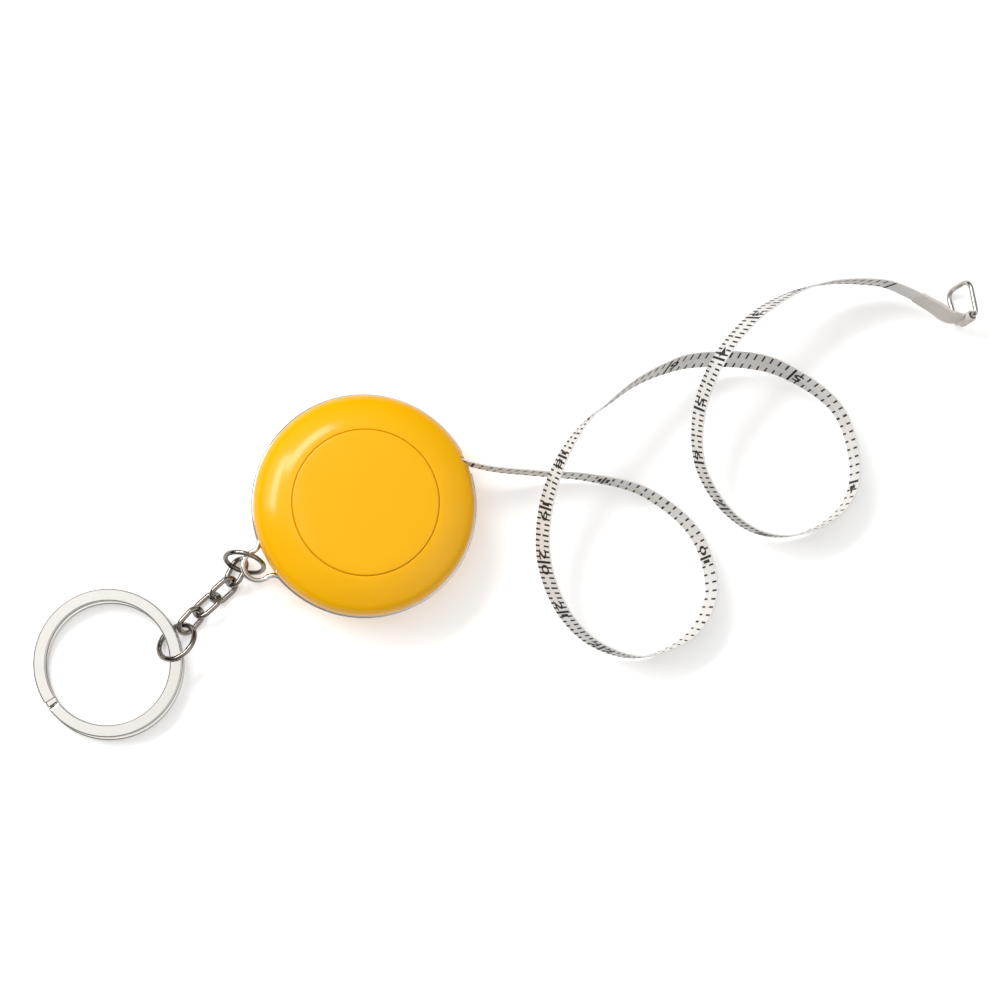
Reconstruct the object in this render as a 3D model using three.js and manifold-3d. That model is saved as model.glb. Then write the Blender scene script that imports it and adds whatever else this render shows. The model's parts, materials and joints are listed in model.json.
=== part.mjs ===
// Spring-return pocket tape measure on a key chain.
// Millimetres, +Z up. The origin is the middle of the flat back that the case lies on.
import * as THREE from 'three';
import { mergeVertices } from 'three/addons/utils/BufferGeometryUtils.js';
import Module from 'manifold-3d';

const wasm = await Module();
wasm.setup();

// Clearances
const FIT = 0.3; // between pieces that are seated on each other
const RUN = 0.25; // between pieces that turn or slide past each other
const SEAM = 0.3; // between the two shells

// Tape
const TAPE_WIDTH = 6;
const TAPE_THICKNESS = 0.3;
const TAPE_LENGTH = 1500;
const TAPE_PLAY = 0.2; // to each flange
const TAPE_STEPS = 2; // per point of the route

// Case
const FLOOR = 1.2;
const LIP = 0.6;
const TONGUE_WALL = 0.9;
const TONGUE_HEIGHT = 1.2;
const GROOVE_BACK = 1.4;
const SIDE_GAP = 0.9;
const CASE_SIDES = 44;
const SHOULDER_STEPS = 7;
const RIB_WIDTH = 0.7;
const SOCKET_DEPTH = 0.7;
const SLOT_WIDTH = 0.9;
const SLOT_PLAY = 0.5; // above and below the tape

// Wire bail in the seam
const BAIL_WIRE = 1;
const BAIL_PROUD = 0.4;
const BAIL_OPENING = 6;
const EYE_ANGLE = 209.9;
const EYE_RADIUS = 2.75;
const EYE_REACH = 1.95; // from the wire in the seam to the middle of the eye
const EYE_FILLET = 2;

// Button and brake
const BUTTON_RADIUS = 13.2;
const BUTTON_FLANGE = 0.5;
const BUTTON_OVERLAP = 0.65;
const BUTTON_CROWN = 0.35;
const PRESS_TRAVEL = 0.9;
const STEM_RADIUS = 1.2;
const BRAKE_RADIUS = 8;
const BRAKE_THICKNESS = 1.4;
const PIN_RADIUS = 0.3;
const PIN_FIT = 0.12;
const COIL_WIRE = 0.3;
const COIL_TURNS = 5;

// Reel, arbor and mainspring
const ARBOR_RADIUS = 2.7;
const COUNTERBORE = 2.1;
const DRUM_RADIUS = 9;
const DRUM_WALL = 1;
const FLANGE = 0.5;
const FLANGE_MARGIN = 0.95;
const SPIGOT_WALL = 0.8;
const SPRING_STRIP = 0.2;
const SPRING_TURNS = 4;

// Rings and chain
const CASE_RING_RADIUS = 3.65;
const CASE_RING_WIRE = 0.8;
const LINK_LENGTH = 6.2;
const LINK_WIDTH = 4.4;
const LINK_WIRE = 0.9;
const LINK_SLACK = 0.26;
const FIRST_SLACK = 1.25; // the first link lies loose in its ring
const LINK_ROLL = 45;
const LINK_HEADINGS = [243, 222.5, 222.5, 229];
const KEY_LINK_RADIUS = 3.75;
const KEY_LINK_WIRE = 0.9;
const KEY_LINK_SLACK = 0.62; // the ring after the last link lies loose in it
const KEY_RING_SEAT = 0.5; // the key ring is pulled this far off the middle of that ring
const KEY_RING_RADIUS = 13.6;
const KEY_RING_WIDTH = 2.25;
const KEY_RING_TURN = 1;
const KEY_RING_GAP = 0.15;
const KEY_RING_SPLAY = [0.4, -1.2]; // the lower turn lies this far off the upper one
const KEY_RING_TILT = 4.2;
const KEY_RING_HEADING = 17.3;
const KEY_RING_JOG = 196.5; // where the wire climbs, from the side that holds the jump ring
const JOG_SPAN = 20;
const TABLE_GAP = 0.06;

// Fold and pull ring at the end of the tape
const TAB_WIDTH = 6.4;
const TAB_NECK = 3.2;
const TAB_THICKNESS = 0.7;
const LOOP_WALL = 0.35;
const PULL_WIRE = 0.84;
const PULL_BAR = 5.6;
const PULL_FAR = 6.5;
const PULL_HEIGHT = 6.7;
const BAR_CORNER = 0.7;
const FAR_CORNER = 2.2;

const vec = (x, y, z = 0) => new THREE.Vector3(x, y, z);
const UP = vec(0, 0, 1);
const rad = THREE.MathUtils.degToRad;
const polar = (radius, degrees, z = 0) => vec(radius * Math.cos(rad(degrees)), radius * Math.sin(rad(degrees)), z);
const along = (point, direction, distance) => point.clone().addScaledVector(direction, distance);

// Route of the tape outside the case: x, y, z of its middle line and the lean of its upper edge to the left.
const ROUTE = [
  [18.7, 8.1, 7.7, 0], [23.6, 7.1, 7.45, 0.7], [32.7, 6.6, 5, 2], [42.2, 6, 3.8, 4.5], [52.4, 3.6, 3.3, 9],
  [61.9, -4, 3.2, 11], [65.1, -13.6, 3.2, 13], [64.3, -18.4, 3.2, 13], [62, -22.3, 3.2, 11],
  [58.5, -25.1, 3.3, 7], [51.2, -27.4, 3.7, 1], [42.8, -24.9, 4.7, -8], [36.9, -19.2, 6.2, -14],
  [33.2, -10.1, 8.2, -18], [33.3, -0.4, 9.9, -20], [36.2, 8.7, 11.8, -16], [40.7, 15.5, 12.5, -5],
  [45.3, 19.5, 11.8, 2.5], [49.8, 23, 10.4, 5.5], [55.4, 26, 8.6, 11], [61, 27.9, 6.6, 18],
  [72.8, 28.3, 4.7, 21], [79.8, 26.3, 4.2, 14], [89.3, 19.5, 3.5, 8], [92.5, 9.8, 3.2, 7], [91.8, 3.7, 3.2, 7],
  [88.4, -0.9, 3.4, 6], [81.6, -4.3, 3.9, 4], [74.4, -4.2, 4.7, 2], [67.9, -0.4, 6, -2], [62.5, 7.8, 7.9, -7],
  [61.9, 17.4, 9.9, -14], [64.9, 26.5, 12.3, -20], [70.9, 34.3, 12.7, -20], [76.5, 38.6, 11.5, -16],
  [82.2, 41.4, 10.1, -8], [87.8, 42.9, 8.6, -4], [94.4, 43.3, 7.3, 0], [98.6, 43, 6.5, 1],
  [103.6, 41.3, 5.4, 4],
];
const TAB_ROUTE = [vec(104.05, 41.1, 5.33), vec(107.9, 39.05, 4.9), vec(111, 37.25, 4.55)];
const PULL_HINGE = vec(114.1, 37, 4.38);
const PULL_AXIS = vec(0.47, 0.27, 0.84).normalize();
const PULL_SIDE = vec(-0.17, 0.96, -0.2135).normalize();

// Heights, from the back up
const brakeBottom = FLOOR + RUN + PRESS_TRAVEL;
const brakeTop = brakeBottom + BRAKE_THICKNESS;
const drumBottom = brakeTop + RUN;
const tapeBottom = drumBottom + FLANGE + TAPE_PLAY;
const tapeTop = tapeBottom + TAPE_WIDTH;
const tapeMiddle = (tapeBottom + tapeTop) / 2;
const coverBottom = tapeTop + TAPE_PLAY;
const coverTop = coverBottom + FLANGE;
const buttonBottom = coverTop + RUN + PRESS_TRAVEL;
const lipBottom = buttonBottom + BUTTON_FLANGE + RUN;
const caseTop = lipBottom + LIP;
const seam = caseTop / 2;
const pinHeight = (brakeBottom + brakeTop) / 2;

// Radii, from the axis out
const windStart = DRUM_RADIUS + FIT;
const windFull = Math.hypot(windStart, Math.sqrt(TAPE_LENGTH * TAPE_THICKNESS / Math.PI));
const flangeRadius = windFull + FLANGE_MARGIN;
const rearInside = flangeRadius + SIDE_GAP;
const tongueOutside = rearInside + TONGUE_WALL;
const frontInside = tongueOutside + FIT;
const grooveFloor = frontInside + GROOVE_BACK;
const bailRadius = grooveFloor + FIT + BAIL_WIRE / 2;
const grooveHalf = BAIL_WIRE / 2 + FIT;
const caseRadius = bailRadius + BAIL_WIRE / 2 - BAIL_PROUD;
const holeRadius = BUTTON_RADIUS + RUN;
const buttonFlange = holeRadius + BUTTON_OVERLAP;
const boreRadius = STEM_RADIUS + FIT;

const assembly = new THREE.Group();
assembly.name = 'pocket_tape_measure';

const FINISH = {
  yellow: { color: 0xfdbe00, roughness: 0.3, metalness: 0 },
  white: { color: 0xf2f1ec, roughness: 0.5, metalness: 0 },
  beige: { color: 0xc8beb4, roughness: 0.45, metalness: 0 },
  nickel: { color: 0xd6d4ce, roughness: 0.14, metalness: 1 },
  steel: { color: 0x8f9196, roughness: 0.35, metalness: 1 },
  nylon: { color: 0xe6e2d6, roughness: 0.6, metalness: 0 },
};

function addPart(name, geometry, finish) {
  const mesh = new THREE.Mesh(geometry, new THREE.MeshStandardMaterial(FINISH[finish]));
  geometry.computeVertexNormals();
  mesh.name = name;
  assembly.add(mesh);
}

function signedVolume(position, index) {
  const [a, b, c] = [vec(0, 0), vec(0, 0), vec(0, 0)];
  let volume = 0;
  for (let i = 0; i < index.length; i += 3) {
    a.fromBufferAttribute(position, index[i]);
    b.fromBufferAttribute(position, index[i + 1]);
    c.fromBufferAttribute(position, index[i + 2]);
    volume += a.dot(b.cross(c)) / 6;
  }
  return volume;
}

// One closed body: shared corners, no empty faces, faces outward.
function body(geometry) {
  geometry.deleteAttribute('normal');
  geometry.deleteAttribute('uv');
  const merged = mergeVertices(geometry, 1e-4);
  const source = merged.index.array;
  const index = [];
  for (let i = 0; i < source.length; i += 3) {
    const [a, b, c] = [source[i], source[i + 1], source[i + 2]];
    if (a !== b && b !== c && c !== a) index.push(a, b, c);
  }
  if (signedVolume(merged.attributes.position, index) < 0) index.reverse();
  merged.setIndex(index);
  return merged;
}

function toSolid(geometry) {
  const vertProperties = new Float32Array(geometry.attributes.position.array);
  const triVerts = new Uint32Array(geometry.index.array);
  return new wasm.Manifold(new wasm.Mesh({ numProp: 3, vertProperties, triVerts }));
}

function fromSolid(solid) {
  const { vertProperties, triVerts } = solid.getMesh();
  const geometry = new THREE.BufferGeometry();
  geometry.setAttribute('position', new THREE.Float32BufferAttribute(vertProperties, 3));
  geometry.setIndex(Array.from(triVerts));
  return body(geometry);
}

function cut(geometry, ...tools) {
  let solid = toSolid(geometry);
  for (const tool of tools) solid = solid.subtract(toSolid(tool));
  return fromSolid(solid);
}

function join(first, ...others) {
  let solid = toSolid(first);
  for (const other of others) solid = solid.add(toSolid(other));
  return fromSolid(solid);
}

// A profile of [radius, height] turned round the Z axis.
function turned(profile, sides = CASE_SIDES) {
  const points = profile.map(([radius, height]) => new THREE.Vector2(radius, height));
  return body(new THREE.LatheGeometry(points, sides).rotateX(Math.PI / 2));
}

function ring(inside, outside, bottom, top, sides = CASE_SIDES) {
  return turned([[inside, bottom], [outside, bottom], [outside, top], [inside, top], [inside, bottom]], sides);
}

function rod(radius, length, middle, axis, sides = 16) {
  const geometry = new THREE.CylinderGeometry(radius, radius, length, sides);
  const turn = new THREE.Quaternion().setFromUnitVectors(vec(0, 1, 0), axis);
  return body(geometry.applyQuaternion(turn).translate(middle.x, middle.y, middle.z));
}

function block(size, middle, heading = 0) {
  const geometry = new THREE.BoxGeometry(size.x, size.y, size.z).rotateZ(rad(heading));
  return body(geometry.translate(middle.x, middle.y, middle.z));
}

const round = (width, height = width, sides = 8) => Array.from({ length: sides }, (_, i) => {
  const angle = 2 * Math.PI * (i + 0.5) / sides;
  return [width / 2 * Math.cos(angle), height / 2 * Math.sin(angle)];
});

function flat(width, height, corner) {
  const [w, h, c] = [width / 2, height / 2, corner];
  return [[w - c, -h], [w, c - h], [w, h - c], [w - c, h], [c - w, h], [-w, h - c], [-w, c - h], [c - w, -h]];
}

const strip = (width, height) => [[width / 2, -height / 2], [width / 2, height / 2], [-width / 2, height / 2],
  [-width / 2, -height / 2]];

function skin(rings, loop) {
  const sides = rings[0].length;
  const spans = loop ? rings.length : rings.length - 1;
  const index = [];
  for (let i = 0; i < spans; i += 1) {
    const here = i * sides;
    const next = ((i + 1) % rings.length) * sides;
    for (let k = 0; k < sides; k += 1) {
      const l = (k + 1) % sides;
      index.push(here + k, here + l, next + l, here + k, next + l, next + k);
    }
  }
  const end = (rings.length - 1) * sides;
  for (let k = 1; k < sides - 1 && !loop; k += 1) index.push(0, k + 1, k, end, end + k, end + k + 1);
  const geometry = new THREE.BufferGeometry();
  const numbers = rings.flat().flatMap((point) => point.toArray());
  geometry.setAttribute('position', new THREE.Float32BufferAttribute(numbers, 3));
  geometry.setIndex(index);
  return body(geometry);
}

// A section carried along points; upAt and sectionAt give the upright and the section at each one.
function swept(points, sectionAt, upAt = () => UP, loop = false) {
  const count = points.length;
  const rings = points.map((point, i) => {
    const before = points[loop ? (i + count - 1) % count : Math.max(i - 1, 0)];
    const after = points[loop ? (i + 1) % count : Math.min(i + 1, count - 1)];
    const forward = after.clone().sub(before).normalize();
    const across = forward.clone().cross(upAt(i)).normalize();
    const upright = across.clone().cross(forward);
    return sectionAt(i).map(([a, b]) => along(along(point, across, a), upright, b));
  });
  return skin(rings, loop);
}

function ellipse(outside, top, middle, steps = SHOULDER_STEPS) {
  return Array.from({ length: steps + 1 }, (_, i) => {
    const angle = Math.PI / 2 * i / steps;
    return [holeRadius + (outside - holeRadius) * Math.cos(angle), middle + (top - middle) * Math.sin(angle)];
  });
}

// The slot follows the straight run of the tape from the winding to the mouth, and runs on through the wall.
function slotTool() {
  const size = vec(0.9 * leadStart.distanceTo(mouth), SLOT_WIDTH, TAPE_WIDTH + 2 * SLOT_PLAY);
  return block(size, leadStart.clone().lerp(mouth, 0.8), leadAngle - 90);
}

function frontShell() {
  const middle = seam + grooveHalf;
  const inside = ellipse(frontInside, lipBottom, middle);
  const ribBottom = coverTop + RUN;
  const ribInside = buttonFlange + FIT;
  const ribOutside = ribInside + RIB_WIDTH;
  const profile = [
    ...ellipse(caseRadius, caseTop, middle).reverse(),
    [grooveFloor, middle], [grooveFloor, seam + SEAM / 2], [frontInside, seam + SEAM / 2],
    ...inside,
  ];
  const shell = turned([...profile, profile[0]]);
  const rib = ring(ribInside, ribOutside, ribBottom, lipBottom + LIP / 2);
  const outer = turned([[0, seam], [caseRadius, seam], ...ellipse(caseRadius, caseTop - LIP / 2, middle), [0, caseTop - LIP / 2]]);
  const trimmed = fromSolid(toSolid(rib).intersect(toSolid(outer)));
  return cut(join(shell, trimmed), slotTool());
}

function rearShell() {
  const middle = seam - grooveHalf;
  const socket = ARBOR_RADIUS + FIT / 2;
  const profile = [
    [0, 0], ...ellipse(caseRadius, 0, middle).reverse(),
    [grooveFloor, middle], [grooveFloor, seam - SEAM / 2], [tongueOutside, seam - SEAM / 2],
    [tongueOutside, seam + TONGUE_HEIGHT], [rearInside, seam + TONGUE_HEIGHT],
    ...ellipse(rearInside, FLOOR, middle),
    [socket, FLOOR], [socket, FLOOR - SOCKET_DEPTH], [0, FLOOR - SOCKET_DEPTH],
  ];
  return cut(turned(profile), slotTool());
}

// Arc points round a middle, from one bearing to another, in degrees.
function arc(middle, radius, from, to, steps) {
  return Array.from({ length: steps + 1 }, (_, i) => polar(radius, from + (to - from) * i / steps).add(middle));
}

// The wire runs round the seam from one side of the slot to the other, out into the eye on the way.
function bailPoints() {
  const reach = bailRadius + EYE_REACH;
  const toFillet = bailRadius + EYE_FILLET;
  const eyeToFillet = EYE_RADIUS + EYE_FILLET;
  const spread = Math.acos((reach ** 2 + toFillet ** 2 - eyeToFillet ** 2) / (2 * reach * toFillet)) * 180 / Math.PI;
  const eye = polar(reach, EYE_ANGLE, seam);
  const early = polar(toFillet, EYE_ANGLE - spread, seam);
  const late = polar(toFillet, EYE_ANGLE + spread, seam);
  const bearing = (from, to) => Math.atan2(to.y - from.y, to.x - from.x) * 180 / Math.PI;
  const turnEarly = THREE.MathUtils.euclideanModulo(bearing(early, eye) - (EYE_ANGLE - spread + 180), 360);
  const firstEye = bearing(eye, early);
  const sweepEye = THREE.MathUtils.euclideanModulo(bearing(eye, late) - firstEye, 360);
  const onSeam = (from, to) => arc(vec(0, 0, seam), bailRadius, from, to, 22);
  const filletStart = EYE_ANGLE - spread + 180;
  const filletEnd = bearing(late, eye);
  const turnLate = THREE.MathUtils.euclideanModulo(EYE_ANGLE + spread + 180 - filletEnd, 360);
  return [
    ...onSeam(slotAngle + BAIL_OPENING, EYE_ANGLE - spread).slice(0, -1),
    ...arc(early, EYE_FILLET, filletStart, filletStart + turnEarly - 360, 5).slice(0, -1),
    ...arc(eye, EYE_RADIUS, firstEye, firstEye + sweepEye, 18).slice(0, -1),
    ...arc(late, EYE_FILLET, filletEnd, filletEnd + turnLate - 360, 5).slice(0, -1),
    ...onSeam(EYE_ANGLE + spread, slotAngle - BAIL_OPENING + 360),
  ];
}

function releaseButton() {
  const stemBottom = pinHeight - 3 * PIN_RADIUS;
  const crownBase = caseTop - BUTTON_CROWN;
  const shape = turned([
    [0, stemBottom], [STEM_RADIUS, stemBottom], [STEM_RADIUS, buttonBottom], [buttonFlange, buttonBottom],
    [buttonFlange, buttonBottom + BUTTON_FLANGE], [BUTTON_RADIUS, buttonBottom + BUTTON_FLANGE],
    [BUTTON_RADIUS, crownBase], [BUTTON_RADIUS - 0.35, crownBase + 0.3],
    [BUTTON_RADIUS * 0.66, crownBase + 0.55], [BUTTON_RADIUS * 0.33, crownBase + 0.66], [0, crownBase + 0.7],
  ]);
  return cut(shape, rod(PIN_RADIUS + PIN_FIT, 4 * STEM_RADIUS, vec(0, 0, pinHeight), vec(1, 0, 0)));
}

const coilStep = tapeMiddle;
const coilBottom = coilStep + FIT + COIL_WIRE / 2;
const coilTop = buttonBottom - FIT - COIL_WIRE / 2;

function coilPoints() {
  const radius = (boreRadius + COUNTERBORE) / 2 - FIT / 2;
  const steps = COIL_TURNS * 14;
  return Array.from({ length: steps + 1 }, (_, i) => (
    polar(radius, 360 * COIL_TURNS * i / steps, coilBottom + (coilTop - coilBottom) * i / steps)));
}

const springBottom = tapeBottom + FIT;
const springTop = coverBottom - SPIGOT_WALL - FIT - RUN;

// Inner end on the arbor, open turns, outer end in the slot of the drum.
function mainspringPoints() {
  const first = ARBOR_RADIUS + FIT + SPRING_STRIP / 2;
  const last = DRUM_RADIUS - DRUM_WALL - SPIGOT_WALL - 2 * FIT;
  const steps = SPRING_TURNS * 22;
  const turns = Array.from({ length: steps + 1 }, (_, i) => (
    [360 * SPRING_TURNS * i / steps, first + (last - first) * i / steps]));
  const reach = DRUM_RADIUS - last;
  const outer = [[8, last + 0.25 * reach], [12, last + 0.55 * reach], [14, last + 0.85 * reach]];
  const tail = outer.map(([angle, radius]) => [360 * SPRING_TURNS + angle, radius]);
  return [...turns, ...tail].map(([angle, radius]) => polar(radius, angle, (springBottom + springTop) / 2));
}

function arbor() {
  const bottom = FLOOR - SOCKET_DEPTH + FIT / 2;
  const post = turned([
    [boreRadius, bottom], [ARBOR_RADIUS, bottom], [ARBOR_RADIUS, coverTop], [COUNTERBORE, coverTop],
    [COUNTERBORE, coilStep], [boreRadius, coilStep], [boreRadius, bottom],
  ], 32);
  const low = pinHeight - PRESS_TRAVEL - PIN_RADIUS - RUN;
  const high = pinHeight + PIN_RADIUS + RUN;
  const pinSlot = block(vec(4 * ARBOR_RADIUS, 2 * (PIN_RADIUS + RUN), high - low), vec(0, 0, (low + high) / 2));
  return cut(post, pinSlot);
}

function brakeDisc() {
  const disc = ring(ARBOR_RADIUS + FIT, BRAKE_RADIUS, brakeBottom, brakeTop, 40);
  return cut(disc, rod(PIN_RADIUS + PIN_FIT, 3 * BRAKE_RADIUS, vec(0, 0, pinHeight), vec(1, 0, 0)));
}

function reelDrum() {
  const inside = DRUM_RADIUS - DRUM_WALL;
  const plateTop = drumBottom + FLANGE;
  const wallTop = coverBottom - FIT;
  const drum = turned([
    [ARBOR_RADIUS + RUN, drumBottom], [flangeRadius, drumBottom], [flangeRadius, plateTop], [DRUM_RADIUS, plateTop],
    [DRUM_RADIUS, wallTop], [inside, wallTop], [inside, plateTop], [ARBOR_RADIUS + RUN, plateTop],
    [ARBOR_RADIUS + RUN, drumBottom],
  ], 48);
  const slot = block(vec(3 * DRUM_WALL, 1.6, wallTop - plateTop), polar(inside + DRUM_WALL / 2, 12, (plateTop + wallTop) / 2), 12);
  return cut(drum, slot);
}

function reelCover() {
  const spigot = DRUM_RADIUS - DRUM_WALL - FIT;
  const low = coverBottom - SPIGOT_WALL;
  return turned([
    [ARBOR_RADIUS + RUN, coverBottom], [spigot - SPIGOT_WALL, coverBottom], [spigot - SPIGOT_WALL, low], [spigot, low],
    [spigot, coverBottom], [flangeRadius, coverBottom], [flangeRadius, coverTop], [ARBOR_RADIUS + RUN, coverTop],
    [ARBOR_RADIUS + RUN, coverBottom],
  ], 48);
}

const tapeCurve = new THREE.CatmullRomCurve3(ROUTE.map(([x, y, z]) => vec(x, y, z)), false, 'centripetal');
const outsideLength = tapeCurve.getLength();
const woundRadius = Math.sqrt(windStart ** 2 + (TAPE_LENGTH - outsideLength) * TAPE_THICKNESS / Math.PI);
const leadRadius = woundRadius + FIT + TAPE_THICKNESS / 2;
const mouth = tapeCurve.getPoint(0);
const leadAngle = Math.atan2(mouth.y, mouth.x) * 180 / Math.PI
  + Math.acos(leadRadius / Math.hypot(mouth.x, mouth.y)) * 180 / Math.PI;
const leadStart = polar(leadRadius, leadAngle, tapeMiddle);
const slotAngle = Math.atan2(mouth.y, mouth.x) * 180 / Math.PI;

// Plain core with a spiral outer layer that steps down where the tape leaves.
function woundTape() {
  const shape = new THREE.Shape();
  const steps = 60;
  for (let i = 0; i <= steps; i += 1) {
    const point = polar(woundRadius - TAPE_THICKNESS * i / steps, leadAngle + 360 * i / steps);
    if (i === 0) shape.moveTo(point.x, point.y);
    else shape.lineTo(point.x, point.y);
  }
  shape.closePath();
  const hole = new THREE.Path();
  hole.absarc(0, 0, windStart, 0, 2 * Math.PI, true);
  shape.holes.push(hole);
  const options = { depth: TAPE_WIDTH, bevelEnabled: false, curveSegments: 20 };
  return body(new THREE.ExtrudeGeometry(shape, options).translate(0, 0, tapeBottom));
}

function tapeStations() {
  const steps = (ROUTE.length - 1) * TAPE_STEPS;
  const stations = [0, 0.5].map((t) => ({ point: leadStart.clone().lerp(mouth, t), lean: 0 }));
  for (let i = 0; i <= steps; i += 1) {
    const low = Math.min(Math.floor(i / TAPE_STEPS), ROUTE.length - 2);
    const lean = THREE.MathUtils.lerp(ROUTE[low][3], ROUTE[low + 1][3], i / TAPE_STEPS - low);
    stations.push({ point: tapeCurve.getPoint(i / steps), lean });
  }
  return stations;
}

function leaning(stations) {
  return stations.map(({ lean }, i) => {
    const before = stations[Math.max(i - 1, 0)].point;
    const after = stations[Math.min(i + 1, stations.length - 1)].point;
    const left = UP.clone().cross(after.clone().sub(before)).normalize();
    return UP.clone().multiplyScalar(Math.cos(rad(lean))).addScaledVector(left, Math.sin(rad(lean)));
  });
}

function freeTape() {
  const stations = tapeStations();
  const uprights = leaning(stations);
  const section = strip(TAPE_THICKNESS, TAPE_WIDTH);
  return swept(stations.map(({ point }) => point), () => section, (i) => uprights[i]);
}

const loopRadius = PULL_WIRE / 2 + FIT;

// A strip that narrows to the neck, with a loop at its end round the bar of the pull ring.
function endTab() {
  const uprights = leaning(tapeStations());
  const upright = uprights[uprights.length - 1];
  const last = TAB_ROUTE[TAB_ROUTE.length - 1];
  const inward = last.clone().sub(PULL_HINGE).normalize();
  const points = [...TAB_ROUTE, along(PULL_HINGE, inward, loopRadius + LOOP_WALL / 2)];
  const widths = points.map((_, i) => (i < TAB_ROUTE.length ? TAB_WIDTH : TAB_NECK));
  const uprightAt = (i) => upright.clone().lerp(PULL_AXIS, i < TAB_ROUTE.length ? 0.1 * i : 1);
  const leaf = swept(points, (i) => strip(TAB_THICKNESS, widths[i]), uprightAt);
  const loop = rod(loopRadius + LOOP_WALL, TAB_NECK, PULL_HINGE, PULL_AXIS);
  return cut(join(leaf, loop), rod(loopRadius, 2 * TAB_WIDTH, PULL_HINGE, PULL_AXIS));
}

// Rounded trapezoid with its short side, the bar, in the fold.
function pullRing() {
  const corners = [[-PULL_BAR / 2, 0], [PULL_BAR / 2, 0], [PULL_FAR / 2, PULL_HEIGHT], [-PULL_FAR / 2, PULL_HEIGHT]];
  const points = corners.flatMap((corner, i) => {
    const here = new THREE.Vector2(...corner);
    const radius = i < 2 ? BAR_CORNER : FAR_CORNER;
    const toward = (k) => new THREE.Vector2(...corners[(i + k) % 4]).sub(here).normalize().multiplyScalar(radius);
    const curve = new THREE.QuadraticBezierCurve(here.clone().add(toward(3)), here, here.clone().add(toward(1)));
    return curve.getPoints(4);
  });
  const placed = points.map(({ x, y }) => along(along(PULL_HINGE, PULL_AXIS, x), PULL_SIDE, y));
  const normal = PULL_AXIS.clone().cross(PULL_SIDE).normalize();
  return swept(placed, () => round(PULL_WIRE), () => normal, true);
}

function circle(middle, u, v, radius, steps = 28) {
  return Array.from({ length: steps }, (_, i) => {
    const angle = 2 * Math.PI * i / steps;
    return along(along(middle, u, radius * Math.cos(angle)), v, radius * Math.sin(angle));
  });
}

function wireRing({ middle, u, v }, radius, wire) {
  return swept(circle(middle, u, v, radius), () => round(wire), () => u.clone().cross(v), true);
}

const onRing = ({ middle, u, v }, radius, degrees) => (
  along(along(middle, u, radius * Math.cos(rad(degrees))), v, radius * Math.sin(rad(degrees))));

// The ring in the eye hangs on the wire at this bearing of the eye.
const EYE_HOLD = 144;
const eyeMiddle = polar(bailRadius + EYE_REACH, EYE_ANGLE, seam);
const eyeHold = polar(EYE_RADIUS, EYE_HOLD).add(eyeMiddle);
const CASE_RING_DROP = CASE_RING_RADIUS - (CASE_RING_WIRE + BAIL_WIRE) / 2 - FIT;
const caseRing = { u: vec(0.959, -0.282), v: vec(0.106, 0.359, 0.927) };
caseRing.middle = along(eyeHold, caseRing.v, -CASE_RING_DROP);
const CHAIN_HOLD = 256; // bearing of the chain on that ring
const chainHold = onRing(caseRing, CASE_RING_RADIUS, CHAIN_HOLD);

const linkHeight = (LINK_WIDTH - LINK_WIRE) / 2 * Math.sin(rad(LINK_ROLL)) + LINK_WIRE / 2 + TABLE_GAP;

// Each link hangs in the one before it: end bar behind end bar, with the slack between.
function chainLinks() {
  const links = [];
  let hold = chainHold;
  let reach = (CASE_RING_WIRE + LINK_WIRE) / 2 + FIRST_SLACK;
  LINK_HEADINGS.forEach((heading, i) => {
    const forward = polar(1, heading);
    const back = along(hold, forward, -reach);
    const middle = along(back, forward, (LINK_LENGTH - LINK_WIRE) / 2).setZ(linkHeight);
    const left = UP.clone().cross(forward);
    const roll = rad(i % 2 === 0 ? LINK_ROLL : -LINK_ROLL);
    const across = left.multiplyScalar(Math.cos(roll)).addScaledVector(UP, Math.sin(roll));
    hold = along(middle, forward, (LINK_LENGTH - LINK_WIRE) / 2);
    reach = LINK_WIRE + LINK_SLACK;
    links.push({ middle, forward, across, hold });
  });
  return links;
}

function chainLink({ middle, forward, across }) {
  const half = (LINK_WIDTH - LINK_WIRE) / 2;
  const straight = (LINK_LENGTH - LINK_WIRE) / 2 - half;
  const points = [...arc(vec(straight, 0), half, -90, 90, 8), ...arc(vec(-straight, 0), half, 90, 270, 8)];
  const placed = points.map(({ x, y }) => along(along(middle, forward, x), across, y));
  return swept(placed, () => round(LINK_WIRE), () => forward.clone().cross(across), true);
}

const links = chainLinks();
const lastLink = links[links.length - 1];
const KEY_LINK_HOLD = -22; // bearing of the last link on the key jump ring
const keyLink = { u: vec(0.707, 0.707), v: vec(0.491, -0.491, 0.719) };
const keyLinkPoint = along(lastLink.hold, lastLink.forward, -(LINK_WIRE + KEY_LINK_WIRE) / 2 - KEY_LINK_SLACK);
keyLink.middle = vec(0, 0);
keyLink.middle = keyLinkPoint.clone().sub(onRing(keyLink, KEY_LINK_RADIUS, KEY_LINK_HOLD));
keyLink.middle.setZ(KEY_LINK_RADIUS * keyLink.v.z + KEY_LINK_WIRE / 2 + TABLE_GAP);

const bandRadius = KEY_RING_RADIUS - KEY_RING_WIDTH / 2;
const keyRingPose = new THREE.Matrix4().makeRotationZ(rad(KEY_RING_HEADING))
  .multiply(new THREE.Matrix4().makeRotationY(rad(-KEY_RING_TILT)));
const keyRingLift = KEY_RING_RADIUS * Math.sin(rad(KEY_RING_TILT)) + TABLE_GAP;
const keyRingMiddle = polar(bandRadius + KEY_RING_SEAT, KEY_RING_HEADING + 180).add(keyLink.middle).setZ(keyRingLift);
keyRingPose.setPosition(keyRingMiddle);

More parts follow.
